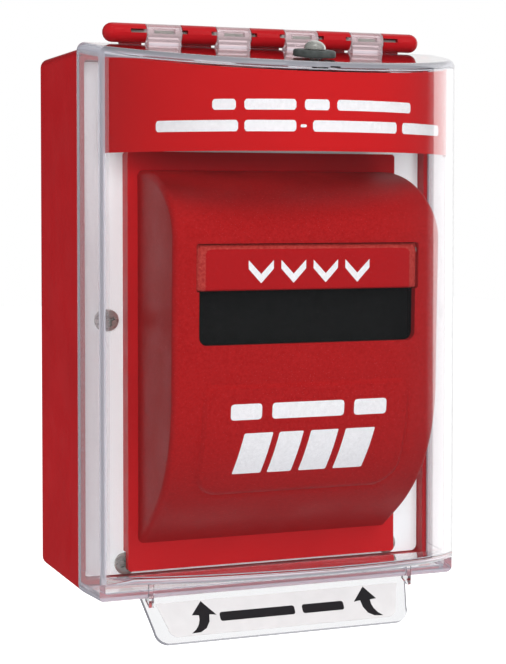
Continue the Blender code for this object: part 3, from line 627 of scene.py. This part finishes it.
def dome_label():
    """Red film behind the dome's top."""
    radius = DOME_RADIUS - COVER_WALL - GAP
    outer = dome_arc(radius, LABEL_HALF_WIDTH, 120)
    inner = dome_arc(radius - 0.4, LABEL_HALF_WIDTH - 0.3, 120)
    film = prism("label_film", outer + inner[::-1], "Z", LABEL_BOTTOM_Z, 120)
    drop = COVER_WALL + 1.0
    combine(film, prism("label_trim", [(0, top_line(0) - drop), (0, 150), (-150, 150), (-150, top_line(-150) - drop)],
                        "X", -90, 90))
    resharpen(film)
    publish(film, "cover", "film", ["cover_label"])


def bent_bars(name, bars, radius, thick=0.05):
    """Thin printed bars on the inside of the dome; each is (left, right, low, high) along the arc, in mm."""
    work = bmesh.new()
    for left, right, low, high in bars:
        corner = min(0.9, (high - low) / 2.5, (right - left) / 2.5)
        columns = max(6, int((right - left) / 0.5))
        marks = [left + (right - left) * step / columns for step in range(columns + 1)]
        grid = []
        for mark in marks:
            edge = min(mark - left, right - mark)
            pinch = corner - math.sqrt(max(0.0, corner ** 2 - (corner - min(edge, corner)) ** 2))
            angle = mark / radius
            spots = []
            for depth in (radius, radius + thick):
                for z in (low + pinch, high - pinch):
                    spots.append(work.verts.new(Vector((depth * math.sin(angle), -DOME_CENTRE - depth * math.cos(angle), z)) * MM))
            grid.append(spots)
        for first, second in zip(grid, grid[1:]):
            for a, b in ((0, 1), (1, 3), (3, 2), (2, 0)):
                work.faces.new((first[a], first[b], second[b], second[a]))
        for end in (grid[0], grid[-1]):
            work.faces.new((end[0], end[1], end[3], end[2]))
    return finished(name, work)


def label_print():
    """Two rows of plain bars where the film has print."""
    upper = [(-40.8, -32.9), (-30.1, -12.9), (-10.0, -1.4), (1.4, 32.9)]
    lower = [(-60.9, -32.2), (-30.1, -12.9), (-11.5, -9.3), (-7.2, 25.8), (28.6, 52.0)]
    bars = [(left, right, 73.2, 76.8) for left, right in upper]
    bars += [(left, right, 66.0, 69.8) if right - left > 4 else (left, right, 67.4, 68.4) for left, right in lower]
    made = bent_bars("label_print", bars, DOME_RADIUS - COVER_WALL - GAP + 0.03)
    publish(made, "cover", "white_print")


def curved_arrow(side):
    """Outline of an arrow that sweeps up and out; side is -1 for the left one."""
    shaft_outer = [(5.6, -4.9), (2.6, -4.7), (0.6, -3.6), (-0.7, -1.6), (-1.1, 0.7)]
    shaft_inner = [(2.3, 0.7), (2.4, -0.8), (3.0, -2.4), (4.0, -3.7)]
    head = [(-3.4, 0.4), (0.9, 5.2), (4.6, 0.9)]
    outline = shaft_outer + head + shaft_inner
    return [(side * x * 1.16, z * 1.16) for x, z in outline]


def tab_sticker():
    """White film on the tab with plain bars between two curved arrows."""
    width_top, width_low, height = 95.0, 89.0, 12.9
    outline = []
    for step in range(9):
        angle = math.radians(90 * step / 8)
        outline.append((width_low / 2 - 3.5 + 3.5 * math.sin(angle), -height / 2 + 3.5 - 3.5 * math.cos(angle)))
    outline += [(width_top / 2, height / 2), (-width_top / 2, height / 2)]
    outline += [(-x, z) for x, z in reversed(outline[:9])]
    film = prism("tab_film", outline, "Y", -0.15, 0.15)
    film.data.transform(tab_matrix(-69.35, -106.3) @ Matrix.Translation((0, -1.45 * MM, 0)))
    resharpen(film)
    publish(film, "cover", "white_film", ["tab_label"])
    marks = [[(x + centre, z) for x, z in curved_arrow(side)] for side, centre in ((-1, -29.6), (1, 32.3))]
    marks += [rounded_rectangle(right - left, 3.4, 0.9, 4, ((left + right) / 2, -0.4)) for left, right in ((-24.5, 4.5), (7.5, 24.0))]
    work = bmesh.new()
    for outline in marks:
        face = work.faces.new([work.verts.new(Vector((x, 0, z)) * MM) for x, z in outline])
        swept = bmesh.ops.extrude_face_region(work, geom=[face])
        moved = [item for item in swept["geom"] if isinstance(item, bmesh.types.BMVert)]
        bmesh.ops.translate(work, verts=moved, vec=(0, -0.06 * MM, 0))
    made = finished("tab_print", work)
    made.data.transform(tab_matrix(-69.35, -106.3) @ Matrix.Translation((0, -1.57 * MM, 0)))
    publish(made, "cover", "black_print")


def cover_rivet():
    """Domed rivet on a two-step dark washer."""
    tilt = Matrix.Translation(Vector((0, RIVET_Y, top_line(RIVET_Y))) * MM) @ Matrix.Rotation(math.atan(TOP_SLOPE), 4, "X")
    tall, seat = WASHER_HEIGHT, WASHER_HEIGHT + GAP
    rim = [(6.5, tall), (6.95, tall - 0.12), (7.3, tall - 0.45), (7.4, tall - 0.8), (7.4, 0.95), (7.25, 0.6), (6.9, 0.35)]
    washer = turned("round_washer", [(2.5, tall)] + rim + [(2.5, 0.35)])
    dome = [(3.8 * math.cos(math.radians(a)), seat + 2.9 * math.sin(math.radians(a))) for a in range(90, -1, -9)]
    rivet = turned("domed_rivet", [(0.0, dome[0][1])] + dome[1:] + [(1.6, seat), (1.6, -6.8), (0.0, -6.8)])
    for piece in (washer, rivet):
        piece.data.transform(tilt)
    publish(washer, "cover", "rubber", ["rivet_washer"])
    publish(rivet, "cover", "steel", ["cover_rivet"])


# ---------------------------------------------------------------- station

def housing_point(t):
    """Side view of the housing as (y, z) with t from 0 at the top to 1 at the foot."""
    base, top, shoulder, depth = -STATION_FRONT - GAP, 54.0, 30.0, 41.2
    if t < 0.35:
        angle = math.radians(90 * t / 0.35)
        return base - (depth - GAP) * math.sin(angle), shoulder + (top - shoulder) * math.cos(angle)
    if t < 0.6:
        share = (t - 0.35) / 0.25
        return -STATION_FRONT - 41.2 + 1.2 * share, shoulder - 50.0 * share
    s = (t - 0.6) / 0.4
    points = (40.0, -20.0), (40.4, -56.0), (18.0, -69.0), (0.3, -80.5)
    weights = ((1 - s) ** 3, 3 * s * (1 - s) ** 2, 3 * s * s * (1 - s), s ** 3)
    y, z = (sum(w * p[axis] for w, p in zip(weights, points)) for axis in (0, 1))
    return -STATION_FRONT - y, z


PANEL, PANEL_RISE = (-38.0, 38.0, -59.5, -20.5), 0.6


def skin_point(t, lift):
    """A point of the side view moved out along its normal."""
    y, z = housing_point(t)
    before, after = Vector(housing_point(max(0.0, t - 0.002))), Vector(housing_point(min(1.0, t + 0.002)))
    along = (after - before).normalized()
    return y + along.y * lift, z - along.x * lift


def housing_relief(x, z):
    """Raised panel, as height in mm."""
    depth = inside_rectangle(x, z, PANEL, (9.0, 5.5))
    groove = 0.35 * math.exp(-((depth + 0.9) / 0.6) ** 2)
    return PANEL_RISE * smoothstep(depth / 0.9 + 0.5) - groove


def station_face():
    """Pillow-fronted shell with soft relief, cut for the pull bar and the finger recess."""
    rows, half, radius = 170, HOUSING_WIDTH / 2, HOUSING_FILLET
    base = -STATION_FRONT - GAP
    fillet = [math.radians(90 * step / 8) for step in range(8, -1, -1)]
    columns = [(-(half - radius + radius * math.sin(a)), radius * (1 - math.cos(a))) for a in fillet]
    inner = int(2 * (half - radius) / 0.75)
    columns += [(-(half - radius) + 2 * (half - radius) * step / inner, 0.0) for step in range(1, inner)]
    columns += [(half - radius + radius * math.sin(a), radius * (1 - math.cos(a))) for a in reversed(fillet)]
    work = bmesh.new()
    grid = []
    for row in range(rows + 1):
        t = row / rows
        height = housing_point(t)[1]
        line = []
        for x, sink in columns:
            y, z = skin_point(t, (housing_relief(x, height) if 0.2 < t < 0.97 else 0.0) - sink)
            line.append(work.verts.new(Vector((x, min(y, base) if row else base, z)) * MM))
        grid.append(line)
    for upper, lower in zip(grid, grid[1:]):
        for a, b, c, d in zip(upper, upper[1:], lower[1:], lower):
            work.faces.new((a, b, c, d))
    work.faces.new([line[0] for line in grid])
    work.faces.new([line[-1] for line in grid])
    bottom = grid[-1]
    work.faces.new(grid[0] + bottom[::-1])
    bmesh.ops.dissolve_degenerate(work, edges=work.edges, dist=1e-6)
    housing = finished("station_face", work)
    profile = [housing_point(step / 40) for step in range(41)]
    hollow = offset_outline(profile, HOUSING_WALL)
    hollow = [(y if y < -STATION_FRONT - 3 else -STATION_FRONT + 2, z) for y, z in hollow]
    combine(housing, prism("housing_hollow", hollow, "X", -half + HOUSING_WALL, half - HOUSING_WALL))
    grip_low, grip_high = HANDLE_BOTTOM_Z - 0.3, HANDLE_PIVOT_Z + HANDLE_ROUND + 0.15
    grip = rounded_rectangle(2 * HANDLE_HALF_WIDTH + 0.36, grip_high - grip_low, 1.0, 8, (0, (grip_low + grip_high) / 2))
    finger = rounded_rectangle(2 * RECESS_HALF_WIDTH, 22.0, 3.0, 8, (0, RECESS_BOTTOM_Z + 11.0))
    combine(housing, prism("handle_opening", grip, "Y", -110, -84))
    combine(housing, prism("finger_opening", finger, "Y", -110, -84))
    for side in (-1, 1):
        ear = [(-93.2, 19.0), (-88.0, 19.0), (-88.0, 31.0), (-90.0, 34.0), (-93.2, 34.0)]
        combine(housing, prism("pivot_ear", ear, "X", *sorted((side * 42.2, side * 44.2))), "UNION")
    combine(housing, rod("pivot_bore", (0, HANDLE_PIVOT_Y, HANDLE_PIVOT_Z), "X", HANDLE_BORE, 92, sides=24))
    resharpen(housing, 28)
    publish(housing, "wall_unit", "spark", ["station_housing"])


BAR_FACE = (-38.0, 38.0, 9.0, 26.4)


def bar_front(x, z):
    """y of the bar's front: flat in the middle, sinking into a soft channel at its top and ends."""
    low = HANDLE_BOTTOM_Z
    flat = -94.62 + 0.024 * (HANDLE_PIVOT_Z - z)
    inside = inside_rectangle(x, z, BAR_FACE, (1.0, 2.0))
    sink = 1.7 * (1 - math.sqrt(max(0.0, 1 - min(1.0, max(0.0, -inside) / 3.3) ** 2)))
    step = 0.16 * smoothstep(inside / 0.35 + 0.5)
    front = flat + sink + 0.16 - step + 0.7 * max(0.0, 1 - (z - low) / 0.7) ** 2
    rise = max(0.0, z - HANDLE_PIVOT_Z)
    return max(front, HANDLE_PIVOT_Y - math.sqrt(max(0.0, HANDLE_ROUND ** 2 - rise ** 2)))


def pull_bar():
    """Pull bar with a plain face in a soft channel, a finger lip and its tail."""
    y, z, low, half = HANDLE_PIVOT_Y, HANDLE_PIVOT_Z, HANDLE_BOTTOM_Z, HANDLE_HALF_WIDTH
    back = [(y - HANDLE_ROUND * math.cos(a), z + HANDLE_ROUND * math.sin(a)) for a in map(math.radians, range(72, 196, 6))]
    back += [(-90.3, 18.0), (-90.6, low + 2.4), (-90.3, low + 1.2), (-90.3, low + 0.6), (-90.9, low), (-93.2, low)]
    columns, rows = int(2 * half / 0.45), 40
    highest = z + HANDLE_ROUND * math.sin(math.radians(66))
    work = bmesh.new()
    grid = []
    for column in range(columns + 1):
        x = -half + 2 * half * column / columns
        line = [(bar_front(x, low + (highest - low) * row / rows), low + (highest - low) * row / rows) for row in range(rows + 1)]
        grid.append([work.verts.new(Vector((x, fy, fz)) * MM) for fy, fz in line + back])
    for first, second in zip(grid, grid[1:]):
        for index in range(len(first)):
            after = (index + 1) % len(first)
            work.faces.new((first[index], first[after], second[after], second[index]))
    work.faces.new(grid[0])
    work.faces.new(grid[-1])
    bar = finished("pull_bar", work)
    combine(bar, box("bar_tail", (-5, 5), (y + 1.4, -74.0), (z - 3.1, z - 0.6)), "UNION")
    combine(bar, rod("bar_bore", (0, y, z), "X", HANDLE_BORE, 2 * half + 2, sides=32))
    resharpen(bar, 30)
    bar.data.materials.clear()
    for name in ("smooth", "groove"):
        bar.data.materials.append(MATERIALS[name])
    for polygon in bar.data.polygons:
        spot = polygon.center / MM
        outside = inside_rectangle(spot.x, spot.z, BAR_FACE, (1.0, 2.0)) < 0.0
        polygon.material_index = 1 if outside and spot.y < -91.0 else 0
    publish(bar, "handle", None, ["pull_handle"])


def raised_marks(name, shapes, surface, thick=0.06):
    """Thin printed shapes that follow a front surface; each shape is a list of (z, left, right) rows."""
    work = bmesh.new()
    for rows in shapes:
        grid = []
        for z, left, right in rows:
            line = []
            for lift in (-0.01, -0.01 - thick):
                line.append([work.verts.new(Vector((x, surface(x, z) + lift, z)) * MM)
                             for x in (left + (right - left) * step / 12 for step in range(13))])
            grid.append(line[0] + line[1][::-1])
        for upper, lower in zip(grid, grid[1:]):
            for index in range(len(upper)):
                after = (index + 1) % len(upper)
                work.faces.new((upper[index], upper[after], lower[after], lower[index]))
        for ends in (grid[0], grid[-1]):
            for index in range(12):
                work.faces.new((ends[index], ends[index + 1], ends[-2 - index], ends[-1 - index]))
    return finished(name, work)


def bar_rows(left, right, low, high, radius=0.9, lean=0.0):
    """Rows of an upright or leaning bar with rounded corners, bottom to top."""
    rows = []
    steps = [radius * (1 - math.cos(math.radians(a))) for a in (0, 30, 60, 90)]
    heights = [low + step for step in steps] + [low + (high - low) * share for share in (0.25, 0.4, 0.5, 0.6, 0.75)]
    heights += [high - step for step in reversed(steps)]
    for z in sorted(heights):
        edge = min(z - low, high - z, radius)
        pinch = radius - math.sqrt(max(0.0, radius ** 2 - (radius - edge) ** 2))
        offset = lean * (z - low)
        rows.append((z, left + pinch + offset, right - pinch + offset))
    return rows


def bar_print():
    """Four plain pointers on the pull bar: pull down."""
    shapes = []
    for index in range(4):
        centre = -18.0 + 12.0 * index
        rows = [(z, max(0.0, (z - 17.8) * 0.96), min(4.6, (z - 14.6) * 0.92)) for z in (14.7, 16.2, 17.8, 18.7, 19.6, 21.0, 22.5)]
        for side in (-1, 1):
            shapes.append([(z, *sorted((centre + side * near, centre + side * far))) for z, near, far in rows])
    made = raised_marks("bar_print", shapes, bar_front, thick=0.05)
    publish(made, "handle", "white_print")


def front_of_housing(x, z):
    """y of the raised panel at a height."""
    low, high = 0.35, 1.0
    for _ in range(30):
        middle = (low + high) / 2
        if skin_point(middle, PANEL_RISE)[1] > z:
            low = middle
        else:
            high = middle
    return skin_point(low, PANEL_RISE)[0]


def panel_print():
    """Three short bars over four leaning blocks on the raised panel."""
    shapes = [bar_rows(left, right, -32.4, -26.8, 1.2) for left, right in ((-28.8, -17.4), (-13.6, 13.4), (17.2, 29.6))]
    lean = math.tan(math.radians(10))
    shapes += [bar_rows(left - 1.3, right - 1.3, -52.0, -37.2, 0.5, lean)
               for left, right in ((-24.6, -14.0), (-11.6, -2.6), (0.2, 10.6), (13.4, 24.6))]
    made = raised_marks("panel_print", shapes, front_of_housing)
    publish(made, "wall_unit", "white_print")


# ---------------------------------------------------------------- screws

def cross_screw(name, centre, head_radius=4.0, head_height=2.4):
    """Pan-head screw with a cross recess; it lies along Y with its head to the room."""
    crown = [(head_radius * math.sin(math.radians(a)) ** 0.9, head_height * (0.35 + 0.65 * math.cos(math.radians(a)) ** 0.7))
             for a in range(0, 90, 9)]
    profile = [(0.0, crown[0][1])] + crown[1:] + [(head_radius, head_height * 0.3), (head_radius * 0.98, 0.0), (1.6, 0.0), (1.6, -13.6),
                                                 (0.0, -14.0)]
    screw = turned(name, profile, steps=48)
    for quarter in range(2):
        wing = box("recess", (-head_radius * 0.56, head_radius * 0.56), (-0.6, 0.6), (head_height - 1.9, head_height + 1))
        wing.data.transform(Matrix.Rotation(math.radians(90 * quarter + 20), 4, "Z"))
        combine(screw, wing)
    combine(screw, rod("recess_middle", (0, 0, head_height), "Z", 1.2, 3.6, sides=16))
    screw.data.transform(Matrix.Translation(centre) @ Matrix.Rotation(math.radians(90), 4, "X"))
    return resharpen(screw, 30)


def plate_screws():
    for index in range(1, 7):
        node = f"plate_screw_{index}"
        low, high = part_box(node)
        seat = Vector(((low.x + high.x) / 2, low.y + 2.4 * MM, (low.z + high.z) / 2))
        publish(cross_screw(f"cross_screw_{index}", seat), "wall_unit", "steel", [node])


# ---------------------------------------------------------------- CAD nodes that stay

def dress(name, material, edge=0.25):
    """Give a CAD node its material, smooth shading and softened edges."""
    node = nodes[name]
    node.data.materials.clear()
    node.data.materials.append(MATERIALS[material])
    node.data.polygons.foreach_set("use_smooth", [True] * len(node.data.polygons))
    weld = node.modifiers.new("Weld", "WELD")
    weld.merge_threshold = 1e-6
    if edge:
        bevel = node.modifiers.new("Soft edges", "BEVEL")
        bevel.width = edge * MM
        bevel.segments = 2
        bevel.limit_method = "ANGLE"
        bevel.angle_limit = math.radians(40)
    split = node.modifiers.new("Sharp edges", "EDGE_SPLIT")
    split.split_angle = math.radians(38)
    even = node.modifiers.new("Even normals", "WEIGHTED_NORMAL")
    even.keep_sharp = True


DRESSING = {
    "back_box": ("red", 0.35), "hinge_frame": ("red", 0.25), "station_base": ("plate", 0.3),
    "mounting_plate": ("white", 0.3), "finger_recess": ("black", 0.2), "hinge_pin": ("steel", 0.15),
    "handle_pin": ("steel", 0.15), "switch_bracket": ("zinc", 0.15), "switch_lever": ("steel", 0.05),
    "magnet": ("magnet", 0.2), "battery": ("battery", 0.0), "reed_switch": ("reed", 0.2),
    "cable_grommet": ("rubber", 0.3), "switch_body": ("black", 0.2), "magnet_arm": ("black", 0.2),
    "terminal_block": ("black", 0.15), "sounder_case": ("black", 0.3), "sounder_grille": ("black", 0.2),
    "circuit_board": ("board", 0.1), "piezo_disc": ("brass", 0.2),
}


def dress_nodes():
    for name, (material, edge) in DRESSING.items():
        dress(name, material, edge)
    for name in nodes:
        if name.startswith(("wall_screw", "station_screw", "bracket_screw")):
            dress(name, "steel", 0.1)
        if name.startswith("terminal_screw"):
            dress(name, "brass", 0.08)


# ---------------------------------------------------------------- studio

def stage():
    work = bmesh.new()
    bmesh.ops.create_grid(work, x_segments=1, y_segments=1, size=3.0)
    floor = finished("floor", work)
    floor.location = (0, 2.4, -0.32)
    made = bpy.data.materials.new("pale_floor")
    made.use_nodes = True
    shader = made.node_tree.nodes["Principled BSDF"]
    shader.inputs["Base Color"].default_value = (0.95, 0.95, 0.95, 1)
    shader.inputs["Roughness"].default_value = 0.9
    shader.inputs["Emission Color"].default_value = (1, 1, 1, 1)
    shader.inputs["Emission Strength"].default_value = 0.8
    floor.data.materials.append(made)
    floor.visible_glossy = floor.visible_transmission = False


def lamp(name, place, aim, size, power, glossy=False):
    data = bpy.data.lights.new(name, "AREA")
    data.shape = "RECTANGLE"
    data.size, data.size_y = size
    data.energy = power
    made = bpy.data.objects.new(name, data)
    made.visible_glossy = made.visible_transmission = glossy
    made.location = place
    made.rotation_mode = "QUATERNION"
    made.rotation_quaternion = (Vector(aim) - Vector(place)).to_track_quat("-Z", "Y")
    bpy.context.scene.collection.objects.link(made)


def studio():
    """White sweep behind the object, a darker room in front of it, and soft lamps."""
    world = bpy.data.worlds.new("studio")
    bpy.context.scene.world = world
    world.use_nodes = True
    tree = world.node_tree
    background = tree.nodes["Background"]
    coordinates = tree.nodes.new("ShaderNodeTexCoord")
    split = tree.nodes.new("ShaderNodeSeparateXYZ")
    tree.links.new(coordinates.outputs["Generated"], split.inputs["Vector"])

    def ranged(source, low, high, to_low, to_high):
        made = tree.nodes.new("ShaderNodeMapRange")
        made.interpolation_type = "SMOOTHSTEP"
        for socket, number in zip(("From Min", "From Max", "To Min", "To Max"), (low, high, to_low, to_high)):
            made.inputs[socket].default_value = number
        tree.links.new(source, made.inputs["Value"])
        return made.outputs["Result"]

    def combined(operation, first, second):
        made = tree.nodes.new("ShaderNodeMath")
        made.operation = operation
        for socket, value in zip(made.inputs, (first, second)):
            if isinstance(value, float):
                socket.default_value = value
            else:
                tree.links.new(value, socket)
        return made.outputs["Value"]

    behind = ranged(split.outputs["Y"], -0.15, 0.2, 0.0, 1.0)
    panel = ranged(split.outputs["Y"], 0.165, 0.195, 0.0, 1.0)
    right = ranged(split.outputs["X"], 0.0, 0.3, 0.0, 1.0)
    bright = ranged(split.outputs["X"], 0.6, 0.95, 1.0, 2.3)
    path = tree.nodes.new("ShaderNodeLightPath")
    seen = combined("MULTIPLY", combined("MULTIPLY", panel, right), bright)
    glossy = combined("ADD", seen, 0.012)
    steep = ranged(split.outputs["Z"], 0.15, 0.5, 0.5, 0.68)
    after = combined("MULTIPLY", ranged(split.outputs["Y"], 0.02, 0.28, 0.0, 1.0),
                     ranged(split.outputs["X"], -0.5, 0.0, 0.0, 1.0))
    passing = combined("MAXIMUM", after, steep)
    inside = ranged(split.outputs["Z"], -0.6, 0.15, 0.82, 0.24)
    veil = combined("MAXIMUM", after, 0.16)
    leftward = ranged(split.outputs["X"], -0.9, 0.1, 0.26, 0.0)
    soft = combined("ADD", combined("ADD", combined("MULTIPLY", behind, 0.14), 0.33), leftward)

    def choose(flag, when, otherwise):
        made = tree.nodes.new("ShaderNodeMix")
        made.data_type = "FLOAT"
        tree.links.new(flag, made.inputs["Factor"])
        for socket, value in ((made.inputs["A"], otherwise), (made.inputs["B"], when)):
            if isinstance(value, float):
                socket.default_value = value
            else:
                tree.links.new(value, socket)
        return made.outputs["Result"]

    strength = choose(path.outputs["Is Glossy Ray"], glossy, soft)
    passing = choose(combined("GREATER_THAN", path.outputs["Glossy Depth"], 0.5), veil, passing)
    passing = choose(combined("GREATER_THAN", path.outputs["Diffuse Depth"], 0.5), inside, passing)
    strength = choose(path.outputs["Is Transmission Ray"], passing, strength)
    strength = choose(path.outputs["Is Camera Ray"], 1.0, strength)
    tree.links.new(strength, background.inputs["Strength"])
    cool = tree.nodes.new("ShaderNodeMix")
    cool.data_type = "RGBA"
    cool.inputs[6].default_value = (1, 1, 1, 1)
    cool.inputs[7].default_value = (0.92, 0.92, 1.0, 1)
    ahead = combined("SUBTRACT", 1.0, after)
    tree.links.new(combined("MULTIPLY", path.outputs["Is Transmission Ray"], ahead), cool.inputs["Factor"])
    tree.links.new(cool.outputs[2], background.inputs["Color"])

    lamp("key", (0.65, -1.15, 1.05), (0, -0.05, 0), (0.7, 0.7), 13)
    lamp("fill", (-0.45, -1.45, 0.22), (0, -0.05, 0), (0.6, 0.6), 13.5)
    lamp("glint", (-0.1, -0.75, 1.3), (0, -0.05, 0), (0.4, 0.4), 1.5, glossy=True)


def camera():
    """View from the front left, a little above the middle, with upright lines kept upright."""
    data = bpy.data.cameras.new("camera")
    data.sensor_width = 36.0
    data.lens = 91.5
    data.shift_y = -0.0994
    made = bpy.data.objects.new("camera", data)
    made.location = (-0.2317, -0.6337, 0.0405)
    yaw, pitch = math.radians(21.34), math.radians(1.97)
    forward = Vector((math.sin(yaw) * math.cos(pitch), math.cos(yaw) * math.cos(pitch), -math.sin(pitch)))
    made.rotation_mode = "QUATERNION"
    made.rotation_quaternion = forward.to_track_quat("-Z", "Y")
    bpy.context.scene.collection.objects.link(made)
    bpy.context.scene.camera = made


def main():
    bpy.context.scene.view_settings.view_transform = "Standard"
    camera()
    stage()
    studio()
    dress_nodes()
    clear_cover()
    dome_label()
    label_print()
    tab_sticker()
    cover_rivet()
    station_face()
    pull_bar()
    bar_print()
    panel_print()
    plate_screws()


main()
